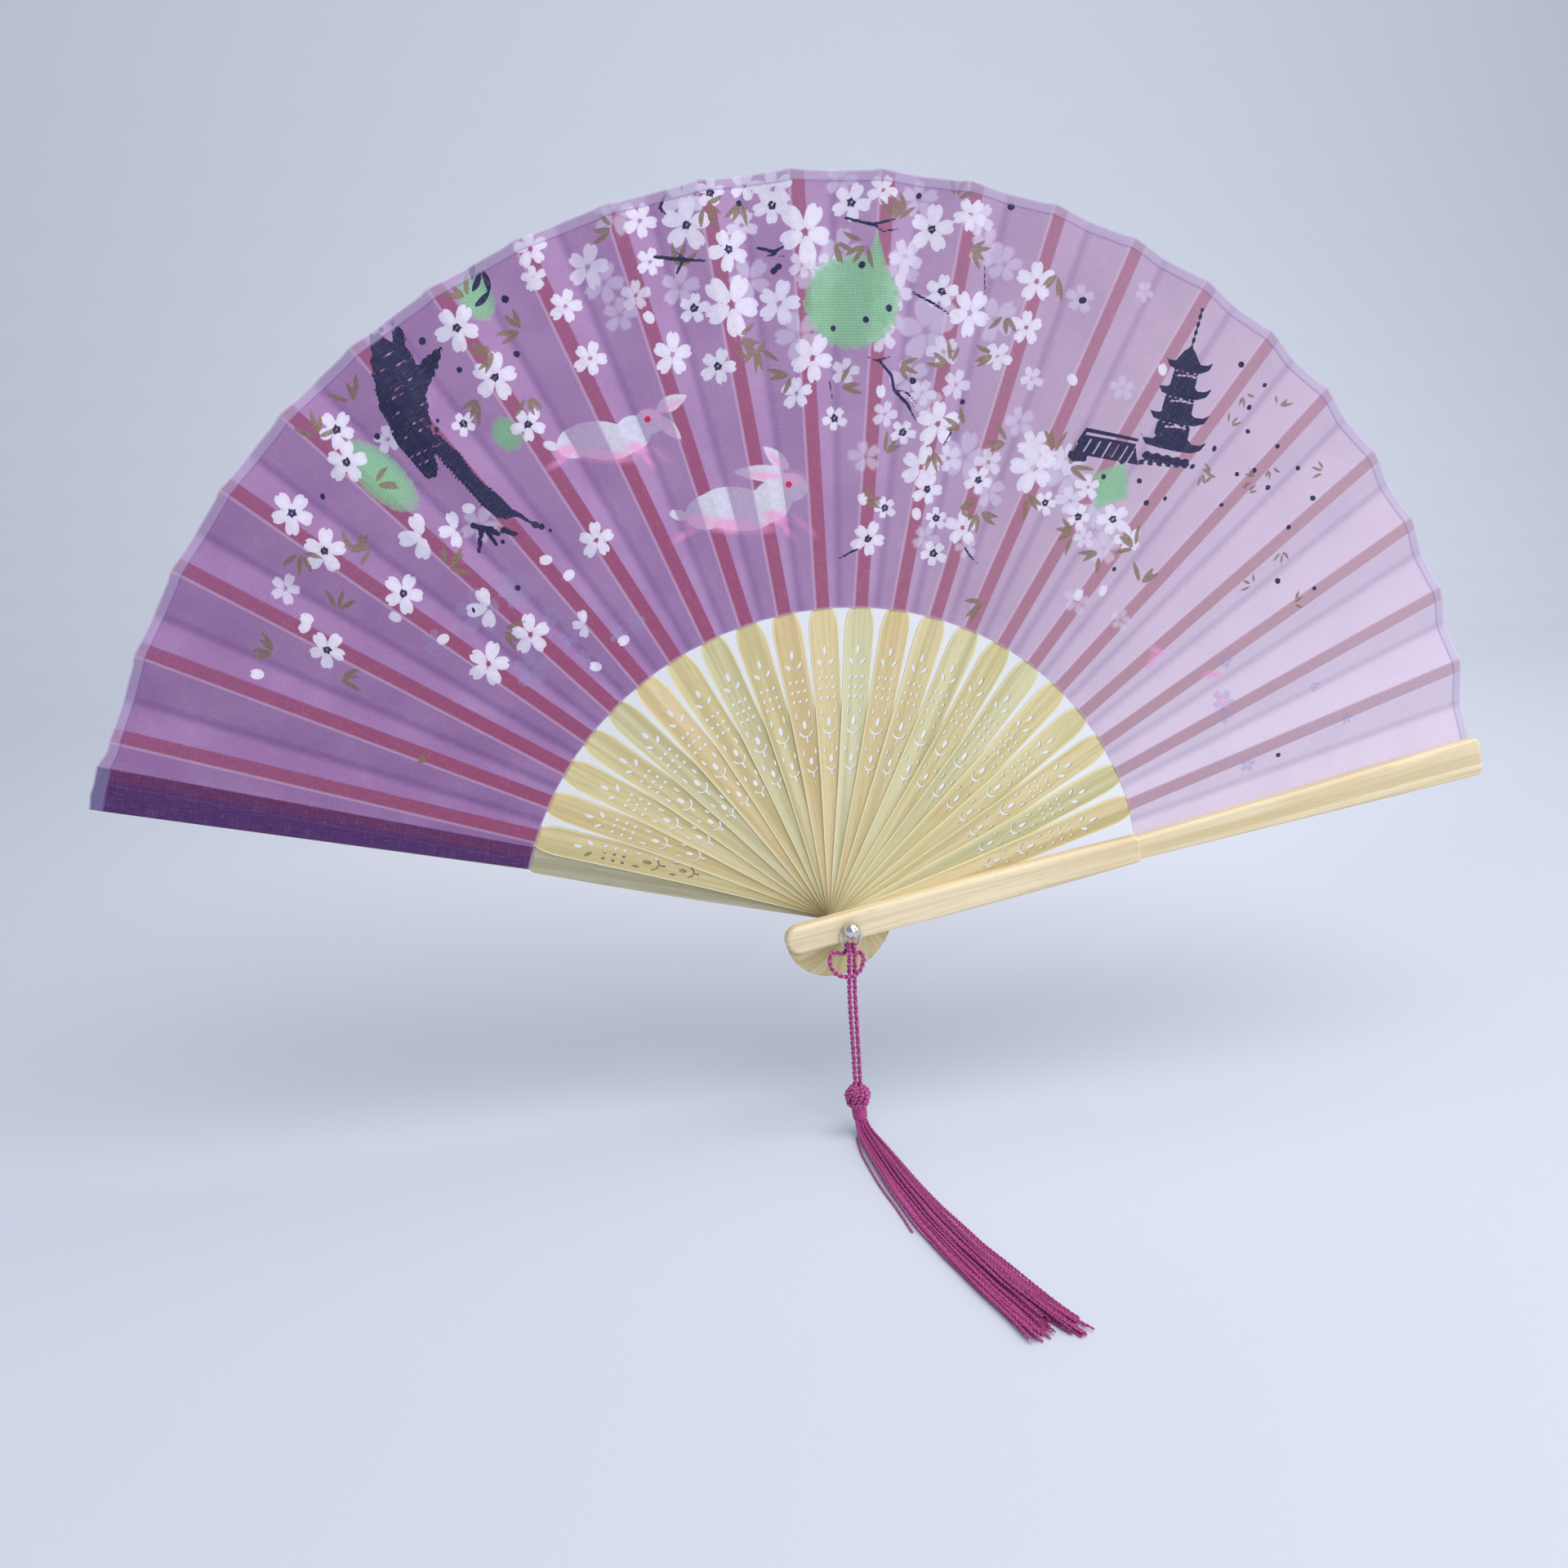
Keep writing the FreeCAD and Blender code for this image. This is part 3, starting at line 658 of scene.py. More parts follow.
def lens(length, width, x0=0.0, y0=0.0, ang=0.0, bend=0.0):
    def f(x, y):
        u = (x - x0) * math.sin(ang) + (y - y0) * math.cos(ang)
        v = (x - x0) * math.cos(ang) - (y - y0) * math.sin(ang)
        t = np.clip(u / length, 0, 1)
        v = v - bend * np.sin(np.pi * t)
        return np.minimum(width * np.sin(np.pi * t ** 0.8) ** 0.85 - np.abs(v), np.minimum(u, length - u) + 0.05)
    return f


def strokes(points, widths, rough=0.0, seed=0.0, streak=0.0):
    """A brushed line through places on the leaf, with its half widths."""
    pts = [at(*p) for p in points]
    c = sum(pts) / len(pts)
    reach = max(np.abs(p - c).max() for p in pts) + max(widths) + 2
    base = math.atan2(c[1], c[0]) - math.pi / 2

    def f(x, y):
        X = x * math.cos(base) - y * math.sin(base) + c[0]
        Z = x * math.sin(base) + y * math.cos(base) + c[1]
        best = np.full(X.shape, -9.0)
        for (a, b), (wa, wb) in zip(zip(pts[:-1], pts[1:]), zip(widths[:-1], widths[1:])):
            ab = b - a
            t = np.clip(((X - a[0]) * ab[0] + (Z - a[1]) * ab[1]) / (ab @ ab), 0, 1)
            d = np.hypot(X - a[0] - ab[0] * t, Z - a[1] - ab[1] * t)
            best = np.maximum(best, wa + (wb - wa) * t - d)
        if rough:
            best = best + rough * (wobble(X * 0.9, Z * 0.9, 1.0, seed) + 0.7 * wobble(X * 2.1, Z * 2.1, 1.0, seed + 2))
        if streak:  # bare marks of bark left by a dry brush
            mark = wobble(X * 1.3 + Z * 0.6, Z * 2.6, 1.0, seed + 5) - 0.40
            best = np.where(best < streak * 3.2, np.minimum(best, -mark * 2.0), best)
        return best
    return list(c), reach, f


def stroke(layer, points, widths, **k):
    c, reach, f = strokes(points, widths, **k)
    paint(layer, c, reach, f)


def blossom(s, R, r=4.2, eye=True, layer="white", ang=None, keep=None):
    ang = rng.random() * 1.25 if ang is None else ang
    r = r * 1.14
    paint(layer, (s, R), r * 1.15, petal5(r, 5, ang, 1.05, keep))
    if eye:
        paint("navy", (s, R), 2.5, ring(0.62, 0.30))
        for j in range(5):
            a = ang + j * 1.2566 + 0.6
            paint("navy", (s, R), 2.5, disc(0.17) if False else (lambda x, y, a=a: 0.20 - np.hypot(x - 1.12 * math.sin(a), y - 1.12 * math.cos(a))))


def sprig(s, R, size=4.0, ang=0.0, n=3, layer="gold", spread=0.62):
    for j in range(n):
        a = ang + (j - (n - 1) / 2) * spread + 0.15 * math.sin(j * 3 + s)
        L = size * (0.80 + 0.34 * rng.random())
        off = 0.55 + 0.8 * rng.random()
        paint(layer, (s, R), size * 1.9, lens(L, size * 0.115, off * math.sin(a), off * math.cos(a), a, 0.10 * size * (rng.random() - 0.5)))


# blossoms with a dark eye, by place along the leaf and radius
for s_, R_, r_ in [
    (4.16, 174.4, 4.4), (4.02, 163.6, 4.5), (4.17, 143.1, 4.3), (2.92, 150.9, 4.0), (5.02, 172.4, 4.2), (5.21, 179.0, 3.8),
    (6.95, 179.7, 4.6), (7.01, 166.0, 4.8), (7.04, 152.9, 3.6), (6.37, 161.3, 2.6), (9.23, 175.2, 0), (9.73, 148.2, 3.8),
    (9.73, 181.1, 5.2), (10.15, 173.9, 4.4), (10.05, 187.0, 3.0), (9.60, 162.5, 3.2), (11.61, 182.4, 4.0), (12.58, 178.0, 4.8),
    (10.71, 182.4, 3.8), (11.39, 132.2, 2.8), (12.54, 129.5, 2.8), (13.12, 116.4, 3.6), (12.37, 110.5, 2.6), (12.06, 102.5, 4.0),
    (13.43, 109.7, 2.6), (13.55, 100.9, 3.0), (14.01, 121.6, 3.2), (16.02, 123.5, 3.2), (16.62, 128.0, 3.8), (15.37, 122.6, 2.8),
    (12.80, 164.0, 3.6), (5.36, 124.0, 0),
]:
    if r_:
        blossom(s_, R_, r_)
# blossoms with no eye
for s_, R_, r_ in [
    (8.14, 172.5, 3.5), (8.15, 159.5, 3.6), (9.17, 153.6, 4.4), (10.07, 161.5, 6.3), (10.68, 160.2, 4.6), (10.74, 186.0, 4.0),
    (11.06, 175.9, 6.0), (11.07, 146.9, 4.9), (10.8, 138.9, 3.4), (4.05, 116.6, 4.7), (4.96, 113.4, 4.4), (6.96, 121.1, 3.9),
    (12.99, 182.6, 3.6), (13.08, 132.8, 5.0), (13.23, 160.4, 5.0), (13.97, 171.7, 4.4), (14.02, 160.6, 3.8), (12.92, 121.6, 4.6),
    (13.99, 109.1, 4.0), (14.88, 129.2, 5.6), (17.06, 126.3, 3.4), (14.75, 134.5, 3.6), (9.23, 175.2, 3.0), (8.05, 187.0, 3.6),
    (9.25, 184.5, 3.6), (11.95, 185.5, 3.2), (7.95, 181.0, 2.6), (13.75, 152.0, 3.2), (10.45, 187.5, 3.2), (15.9, 131.2, 3.0),
]:
    blossom(s_, R_, r_, eye=False)
for s_, R_, r_ in [
    (8.55, 178.5, 4.4), (9.75, 186.6, 4.4), (8.95, 169.0, 3.2), (11.35, 167.0, 4.0), (12.3, 171.0, 4.0), (12.2, 162.4, 4.2), (13.1, 182.2, 3.6), (12.05, 152.0, 3.6),
    (11.55, 143.5, 3.0), (12.95, 150.2, 3.6), (13.25, 143.0, 3.4), (12.2, 133.5, 3.0), (13.4, 125.0, 3.2), (12.75, 139.6, 3.0), (15.35, 134.8, 3.8), (14.1, 126.6, 3.4),
    (3.35, 166.2, 3.2), (5.55, 169.6, 3.0), (15.75, 126.0, 3.4), (11.0, 168.6, 3.0), (14.35, 149.6, 2.8), (16.35, 119.8, 2.6), (10.35, 178.8, 3.4),
]:
    blossom(s_, R_, r_, eye=False, layer="soft2")
for s_, R_, r_ in [(5.0, 148.2, 5.2), (4.85, 125.2, 4.8), (5.87, 105.7, 3.2), (5.38, 143.5, 4.0)]:
    blossom(s_, R_, r_, eye=False, keep=[0, 1, 2], ang=2.2)
for s_, R_, a in [
    (2.22, 163.1, 0.3), (3.16, 158.6, 0.2), (3.95, 129.1, 1.2), (6.07, 124.4, 1.0), (6.21, 117.9, 1.6), (3.82, 141.5, 0.1), (9.02, 163.4, 0.4),
    (7.93, 179.7, 0.6), (5.7, 145.6, 1.0), (13.0, 110.0, 0.5), (3.05, 158.0, 1.2), (6.25, 96.5, 1.4), (16.9, 107.0, 0.4), (12.1, 139.0, 0.2), (11.9, 112.5, 0.4),
    (14.9, 153.0, 1.0), (17.3, 112.0, 0.4), (16.0, 166.0, 0.9), (5.4, 96.0, 0.6),
]:
    paint("white", (s_, R_), 3, lambda x, y: np.minimum((1 - np.hypot(x / 1.25, y / 1.7)) * 1.2, np.abs(x) * 1.3 - (y - 1.15)), a)
# paler blossoms, seen as if further away
for s_, R_, r_ in [
    (12.68, 154.4, 6.4), (12.52, 142.6, 4.4), (14.96, 129.2, 4.6), (13.59, 160.4, 4.8), (13.67, 126.2, 5.4), (14.29, 119.7, 3.8), (16.76, 120.6, 4.0),
    (12.79, 161.6, 4.4), (12.08, 156.4, 4.8), (13.54, 173.5, 3.8), (15.34, 180.2, 2.4), (15.65, 157.0, 2.8), (16.95, 105.5, 3.2), (13.26, 176.1, 4.2),
    (8.65, 174.0, 4.2), (8.70, 166.0, 3.6), (5.65, 141.0, 4.0), (11.5, 171.0, 4.8), (10.35, 166.5, 4.6), (12.25, 168.0, 4.6), (11.9, 123.0, 3.6), (14.4, 138.6, 3.6),
    (15.5, 131.5, 5.2), (16.3, 128.5, 5.0), (14.2, 104.6, 2.8), (13.3, 104.4, 3.2), (12.9, 137.0, 3.4), (18.0, 109.4, 2.6), (11.2, 166.4, 5.4), (14.6, 171.8, 3.2),
    (10.9, 152.6, 5.2), (9.0, 187.6, 4.6), (11.5, 187.5, 3.4), (12.4, 184.4, 4.0), (9.5, 168.0, 4.2),
]:
    blossom(s_, R_, r_, eye=False, layer="soft")
for s_, R_, r_ in [(5.36, 124.0, 4.2), (4.66, 126.5, 5.0), (5.51, 112.8, 2.6), (5.38, 99.7, 2.0), (6.25, 98.5, 2.2), (6.74, 98.5, 2.0), (4.46, 107.5, 4.2), (5.45, 106.0, 2.4), (3.85, 130.5, 2.8), (20.78, 120.4, 3.0), (21.05, 119.3, 2.2), (20.1, 126.0, 2.0), (22.1, 153.0, 1.6), (22.2, 121.5, 2.2), (21.4, 147.0, 1.4)]:
    blossom(s_, R_, r_, eye=False, layer="grey")
paint("navy", (5.40, 123.6), 3, disc(0.75, 1, 0.12))
paint("navy", (4.60, 127.0), 3, lens(1.8, 0.4, 0, 0, 0.6))
# leaves in dull gold
for i, (s_, R_) in enumerate([
    (2.56, 161.2), (3.43, 153.3), (2.61, 145.4), (3.84, 167.8), (4.43, 155.4), (5.56, 180.3), (4.85, 139.0), (4.68, 119.3), (6.71, 164.0), (7.56, 171.9),
    (9.53, 171.9), (10.06, 153.7), (10.31, 151.1), (10.75, 143.3), (1.91, 119.1), (5.0, 180.9), (5.03, 164.6), (7.23, 158.8), (7.19, 171.2), (7.21, 183.6),
    (4.2, 157.3), (9.95, 184.5), (10.4, 184.3), (8.95, 184.6), (10.2, 148.0), (11.47, 140.0), (11.43, 173.9), (11.8, 173.3), (12.28, 180.6), (12.79, 185.2), (13.05, 174.8), (13.7, 162.4),
    (13.72, 152.5), (13.1, 147.2), (12.26, 123.6), (12.36, 145.9), (14.22, 175.2), (14.32, 133.0), (15.11, 134.6), (15.43, 133.4), (14.94, 122.5),
    (16.75, 119.2), (17.29, 125.7), (17.79, 119.7), (13.79, 113.0), (14.21, 114.4), (15.03, 93.1), (13.57, 132.8), (12.12, 178.6), (11.9, 112.3), (13.05, 126.4), (16.1, 119.6),
]):
    if s_ == 1.91:
        for j in range(5):
            paint("gold", (s_, R_), 3, disc(0.75 + 0.25 * math.sin(j * 2), j, 0.3), 0.0)
        continue
    sprig(s_, R_, 5.3 if s_ < 14 else 5.6, i * 1.31 % 6.28, 3 if i % 3 else 4, spread=0.50 + 0.18 * (i % 2))
for i, (s_, R_) in enumerate([(17.64, 177.7), (17.13, 174.0), (18.72, 176.4), (17.27, 165.3), (18.08, 165.8), (17.56, 153.9), (18.09, 156.0), (19.16, 154.9), (19.33, 143.5), (19.95, 149.6), (17.4, 152.5), (18.05, 160.5)]):
    sprig(s_, R_, 3.3, i * 2.1 % 6.28, 3, spread=0.75)
# dark dots
for i, (s_, R_) in enumerate([
    (4.53, 171.4), (5.48, 171.7), (6.56, 181.6), (6.71, 171.7), (7.38, 167.9), (7.57, 179.7), (10.36, 183.7), (10.66, 167.7), (16.87, 178.8), (17.32, 179.6),
    (17.34, 172.7), (17.54, 168.1), (17.96, 170.5), (17.31, 158.8), (17.8, 157.9), (17.95, 161.8), (18.31, 162.0), (18.43, 171.6), (18.86, 169.5), (17.93, 149.4),
    (16.63, 140.0), (16.92, 136.5), (17.15, 140.5), (18.94, 159.6), (19.53, 149.7), (19.95, 157.0), (22.26, 130.9), (13.46, 186.9), (12.39, 185.2), (12.59, 142.2),
    (11.39, 153.7), (11.82, 155.7), (12.13, 158.7), (17.2, 118.0), (16.2, 141.3), (14.64, 171.6), (10.72, 168.6), (11.75, 168.4), (13.42, 139.3), (16.05, 135.6),
]):
    paint("navy", (s_, R_), 3, disc((0.82 if s_ < 15 else 0.72) * (0.85 + 0.3 * ((i * 0.37) % 1)), i, 0.16))
# the old tree
def leaf_place(x, z):
    return (N - (math.degrees(math.atan2(z, x)) - STICK_22) / PITCH, math.hypot(x, z))


def jag(x, z, seed):
    saw = lambda t: 2 * np.abs(t - np.floor(t) - 0.5) * 2 - 1
    return 0.5 * saw(x / 2.3 + z / 3.1 + seed) + 0.35 * saw(x / 1.1 - z / 1.7 + seed * 1.3) + 0.3 * saw(z / 0.9 + x / 4 - seed)


def gnarled(points, widths, rough, seed):
    c, reach, f = strokes([leaf_place(*p) for p in points], widths)
    base = math.atan2(c[1], c[0]) - math.pi / 2

    def g(x, y):
        X = x * math.cos(base) - y * math.sin(base) + c[0]
        Z = x * math.sin(base) + y * math.cos(base) + c[1]
        return f(x, y) + rough * jag(X, Z, seed)
    paint("navy", c, reach, g)


gnarled([(-110.5, 151.5), (-107.2, 146.5), (-105.6, 138), (-103.6, 129.5), (-100.6, 121.8)], [1.7, 5.0, 5.6, 4.3, 1.9], 0.60, 0.3)
gnarled([(-105.5, 153.5), (-105.4, 149.5), (-104.0, 143.0)], [1.2, 1.6, 2.0], 0.55, 2.1)
gnarled([(-102.2, 141.5), (-98.8, 146.2), (-96.2, 149.6)], [2.5, 1.9, 0.5], 0.50, 1.2)
gnarled([(-99.0, 128.6), (-95.3, 124.6), (-91.5, 119.3), (-87.6, 114.8), (-84.0, 111.8)], [1.7, 2.3, 2.0, 2.3, 2.0], 0.60, 3.7)
gnarled([(-84.5, 112.0), (-80.0, 110.6), (-77.5, 108.7)], [1.3, 0.55, 0.35], 0.25, 5.2)
for p, q, w in (((-91.5, 108.4), (-87.0, 107.4), 0.75), ((-89.5, 107.6), (-90.4, 102.2), 0.65), ((-88.2, 107.0), (-86.2, 103.6), 0.60), ((-87.4, 107.6), (-85.6, 106.2), 0.8), ((-84.3, 107.2), (-81.4, 106.2), 0.8)):
    gnarled([p, q], [w, w * 0.7], 0.28, p[0])
for x, z, r_ in ((-76.6, 108.2, 0.9), (-75.0, 107.7, 0.8), (-72.9, 106.7, 0.45), (-84.6, 104.4, 0.6), (-98.4, 131.4, 0.6), (-98.0, 133.4, 0.5), (-106.6, 155.4, 0.5), (-109.2, 154.0, 0.6), (-108.0, 155.8, 0.4)):
    paint("navy", [x, z], 3, disc(r_, x, 0.12))
for i in range(15):  # bare marks in the bark
    f_ = (i + 0.5) / 15
    cx_, cz_ = -108.2 + 8.2 * f_ + 3.4 * math.sin(i * 2.4), 149.5 - 28.5 * f_
    dx_, dz_ = (1.7 + 0.8 * math.sin(i * 1.7)) * math.cos(0.45), (1.7 + 0.8 * math.sin(i * 1.7)) * math.sin(0.45)
    sel = np.nonzero((np.abs(GX - cx_) < 5) & (np.abs(GZ - cz_) < 5))[0]
    tt = np.clip(((GX[sel] - cx_) * dx_ + (GZ[sel] - cz_) * dz_) / (dx_ * dx_ + dz_ * dz_), -1, 1)
    gap = 0.16 * (1 - tt * tt) + 0.05 - np.hypot(GX[sel] - cx_ - dx_ * tt, GZ[sel] - cz_ - dz_ * tt) + 0.14 * jag(GX[sel], GZ[sel], i)
    LAY["navy"][sel] = np.minimum(LAY["navy"][sel], -gap)
for s_, R_, a in ((7.36, 187.0, 0.5), (7.30, 184.6, 0.9), (7.46, 182.8, 0.2), (7.24, 181.6, 1.3)):
    paint("navy", (s_, R_), 6, lens(5.4, 0.75, 0, 0, a, 0.3))
# twigs
for pts, w in [
    ([(12.05, 146.0), (12.25, 143.0), (12.32, 139.5), (12.55, 136.5), (12.72, 132.6)], 0.42),
    ([(12.32, 139.5), (12.52, 139.2), (12.70, 136.8)], 0.30),
    ([(12.2, 147.3), (12.0, 146.2), (11.85, 147.0)], 0.28),
    ([(12.45, 163.0), (12.72, 161.0), (12.95, 159.0)], 0.38),
    ([(11.55, 179.0), (11.85, 177.6), (12.12, 179.2)], 0.42),
    ([(11.85, 177.6), (11.98, 176.2), (12.2, 177.2)], 0.28),
    ([(14.15, 104.6), (14.35, 102.8), (14.55, 101.6)], 0.30),
    ([(11.45, 97.4), (11.75, 99.4), (11.95, 100.2)], 0.30),
    ([(9.30, 176.0), (9.60, 173.8), (9.85, 172.4)], 0.5), ([(9.50, 171.0), (9.62, 174.0), (9.55, 176.0)], 0.34),
    ([(9.58, 188.5), (9.50, 186.0), (9.56, 183.8)], 0.4), ([(10.50, 173.4), (10.68, 172.0), (10.8, 173.0)], 0.45), ([(10.6, 171.4), (10.8, 170.8)], 0.32),
    ([(13.3, 172.0), (13.35, 168.0), (13.4, 165.5)], 0.24), ([(11.32, 141.2), (11.36, 137.0)], 0.3), ([(13.25, 128.0), (13.35, 131.2), (13.25, 134.0)], 0.24),
]:
    stroke("navy", pts, [w * 0.8] + [w] * (len(pts) - 2) + [w * 0.5], rough=0.10, seed=pts[0][0])
# green haze
paint("green", (5.18, 164.6), 14, lambda x, y: (1 - np.hypot(x / 5.1, y / 11.0)) * 4.6 + wobble(x, y, 0.35, 3))
paint("green", (7.30, 183.0), 9, lambda x, y: (1 - np.hypot(x / 4.2, y / 5.6)) * 4 + wobble(x, y, 0.3, 1))
paint("green", (6.74, 153.7), 8, lambda x, y: (1 - np.hypot(x / 3.6, y / 4.5)) * 3.6 + wobble(x, y, 0.4, 6))
paint("green", (11.64, 159.8), 22, lambda x, y: np.maximum((1 - np.hypot(x / 12.4, y / 11.2)) * 11 + 0.9 * jag(x * 0.8, y * 0.8, 0.4) + wobble(x, y, 0.45, 2), 3.6 - np.abs(x - 5.6) * 1.3 - np.abs(y - 8.5) * 0.42))
paint("green", (16.25, 134.6), 9, lambda x, y: 5.4 - (np.abs(x) * 0.72 + np.abs(y) * 0.62) - 0.25 * np.abs(x * 0.5 - y * 0.4) + wobble(x, y, 0.3, 9))


# the tiered tower, drawn from plain roof shapes
def poly(points):
    P = np.array(points, float)
    Q = np.roll(P, -1, axis=0)

    def f(x, y):
        d = np.full(x.shape, 1e9)
        inside = np.zeros(x.shape, bool)
        for (ax, ay), (bx, by) in zip(P, Q):
            ex, ey = bx - ax, by - ay
            t = np.clip(((x - ax) * ex + (y - ay) * ey) / (ex * ex + ey * ey + 1e-12), 0, 1)
            d = np.minimum(d, np.hypot(x - ax - ex * t, y - ay - ey * t))
            cross = ((ay > y) != (by > y)) & (x < (bx - ax) * (y - ay) / (by - ay + 1e-12) + ax)
            inside ^= cross
        return np.where(inside, d, -d)
    return f


foot = np.array([86.4, 120.8])
axis2 = np.array([0.205, 0.979])
lean = math.atan2(axis2[1], axis2[0]) - math.atan2(foot[1], foot[0])


def tower(shape, reach=30, layer="navy"):
    paint(layer, list(foot), reach, shape, lean)


def roof(y, w, h, dx=0.0):
    pts = [(dx - w, y + 1.9), (dx - w * 0.80, y + 0.9), (dx - w * 0.52, y + 1.0), (dx - w * 0.28, y + h * 0.8), (dx - w * 0.12, y + h), (dx + w * 0.14, y + h),
           (dx + w * 0.32, y + h * 0.75), (dx + w * 0.58, y + 1.3), (dx + w * 0.84, y + 1.5), (dx + w * 1.06, y + 2.9), (dx + w * 0.90, y + 0.2), (dx + w * 0.62, y - 0.9),
           (dx + w * 0.20, y - 1.2), (dx - w * 0.30, y - 1.1), (dx - w * 0.70, y - 0.7)]
    return poly(pts)


tower(roof(3.2, 9.4, 4.2, 0.8))
tower(roof(10.0, 8.6, 4.0, 0.5))
tower(roof(16.6, 7.9, 3.8, 0.3))
tower(roof(23.2, 7.2, 4.6, 0.2))
for y_, w_ in ((7.0, 4.6), (13.6, 4.1), (20.2, 3.5)):
    tower(lambda x, y, y_=y_, w_=w_: np.minimum(w_ - np.abs(x - 0.5), 1.7 - np.abs(y - y_)) + 0.25 * np.sin(x * 3.4))
tower(lambda x, y: np.minimum(0.42 + 0.20 * np.sin(y * 3.2) - np.abs(x - 0.2), np.minimum(y - 26.5, 38.0 - y)), 42)
tower(lambda x, y: np.minimum(6.3 - np.abs(x - 0.6), 1.0 - np.abs(y + 0.4)) + 0.35 * np.sin(x * 2.4) * np.sin(y * 3))
for j in range(7):
    tower(lambda x, y, j=j: np.minimum(0.85 - np.abs(x + 5.5 - j * 2.35 - 0.3 * np.sin(y)), 0.8 - np.abs(y + 2.3 - 0.25 * j)) - 0.15)
tower(poly([(-24.5, -0.6), (-22.8, 3.4), (-8.0, 3.3), (-8.3, 2.5), (-22.4, 2.3), (-23.4, -1.2)]), 34)
tower(poly([(-22.6, 1.6), (-8.6, 1.9), (-6.4, -3.2), (-25.2, -3.6), (-24.6, -1.9)]), 34)
tower(poly([(-26.0, -3.0), (-21.2, -3.6), (-21.0, -5.0), (-24.4, -5.6), (-26.2, -4.6)]), 34)
for j in range(6):  # lit ribs on the low roof
    x0 = -21.6 + j * 2.5

    def cut(x, y, x0=x0):
        return 0.22 - np.abs((x - x0) - 0.38 * (y + 1.0))
    c = np.array(foot)
    sel = np.nonzero((np.abs(GX - c[0]) < 34) & (np.abs(GZ - c[1]) < 34))[0]
    base = math.atan2(c[1], c[0]) - math.pi / 2 + lean
    dx, dz = GX[sel] - c[0], GZ[sel] - c[1]
    x_, y_ = dx * math.cos(base) + dz * math.sin(base), -dx * math.sin(base) + dz * math.cos(base)
    hit = (y_ < 1.0) & (y_ > -3.0) & (x_ < -8.5)
    v = LAY["navy"][sel]
    LAY["navy"][sel] = np.where(hit, np.minimum(v, -cut(x_, y_)), v)
for y_ in (7.9, 14.5, 21.0, 1.3):  # gaps of light under the eaves
    c = np.array(foot)
    sel = np.nonzero((np.abs(GX - c[0]) < 34) & (np.abs(GZ - c[1]) < 34))[0]
    base = math.atan2(c[1], c[0]) - math.pi / 2 + lean
    dx, dz = GX[sel] - c[0], GZ[sel] - c[1]
    x_, yy = dx * math.cos(base) + dz * math.sin(base), -dx * math.sin(base) + dz * math.cos(base)
    v = LAY["navy"][sel]
    gap = np.minimum(0.20 - np.abs(yy - y_ - 0.25 * np.sin(x_ * 0.7)), 3.0 - np.abs(x_ - 1.2)) + 0.10 * np.sin(x_ * 4.1)
    LAY["navy"][sel] = np.where(np.abs(x_) < 5, np.minimum(v, -gap), v)


# two leaping hares, as plain soft shapes
def oval(cx, cy, a, b, ang=0.0):
    def f(x, y):
        u = (x - cx) * math.cos(ang) + (y - cy) * math.sin(ang)
        v = -(x - cx) * math.sin(ang) + (y - cy) * math.cos(ang)
        return (1 - np.hypot(u / a, v / b)) * min(a, b)
    return f


def ear(cx, cy, ang, L, w):
    return lens(L, w, cx, cy, ang)


def hare(x, z, k, ears):
    parts = [
        ("hare", oval(-2, 0.4, 8.6, 4.6, -0.12)), ("hare", oval(-8.2, 0.0, 4.6, 3.7, 0.3)), ("hare", oval(5.6, 1.8, 4.6, 4.3, 0.5)), ("hare", oval(9.8, 4.6, 3.5, 3.0, -0.15)),
        ("pink", oval(-2, -3.2, 8.4, 1.8, -0.10)), ("pink", oval(-10.6, -2.0, 3.2, 1.8, 0.2)), ("pink", oval(6.5, -1.6, 3.4, 1.7, -0.3)), ("pink", oval(10.4, 6.4, 2.8, 1.7, -0.1)),
        ("hare", oval(-14.2, -0.6, 2.0, 1.1, -0.3)), ("pink", oval(12.2, -3.2, 3.6, 0.9, -0.75)), ("pink", oval(9.0, -4.4, 3.0, 0.9, -0.9)), ("pink", oval(-12.4, -4.4, 3.6, 0.9, 0.5)),
    ]
    base = -(math.atan2(z, x) - math.pi / 2)
    for layer, f in parts:
        paint(layer, [x, z], 26 * k, lambda u, v, f=f: f(u / k, v / k) * k, base)
    for cx, cy, a_, L, w in ears:
        paint("hare", [x, z], 26 * k, lambda u, v, cx=cx, cy=cy, a_=a_, L=L, w=w: ear(cx, cy, a_, L, w)(u / k, v / k) * k, base)
        paint("pink", [x, z], 26 * k, lambda u, v, cx=cx, cy=cy, a_=a_, L=L, w=w: ear(cx, cy - 0.5, a_, L, w * 0.55)(u / k, v / k) * k, base)
    paint("red", [x, z], 26 * k, lambda u, v: 0.80 - np.hypot(u - 9.4 * k, v - 5.2 * k), base)


hare(-57.6, 127.6, 1.0, [(11.6, 7.4, 1.15, 8.2, 1.9), (12.0, 5.6, 2.35, 7.6, 1.6)])
hare(-24.5, 110.2, 1.18, [(9.4, 8.4, -0.85, 7.4, 1.5), (8.8, 7.4, -1.50, 11.5, 1.7)])
for s_, R_, a in ((19.07, 111.5, 0.4), (20.2, 121.0, 0.9), (20.75, 120.4, 0.2), (19.15, 108.6, 1.9)):
    paint("pink", (s_, R_), 6, oval(0, 0, 3.2, 1.1, a))

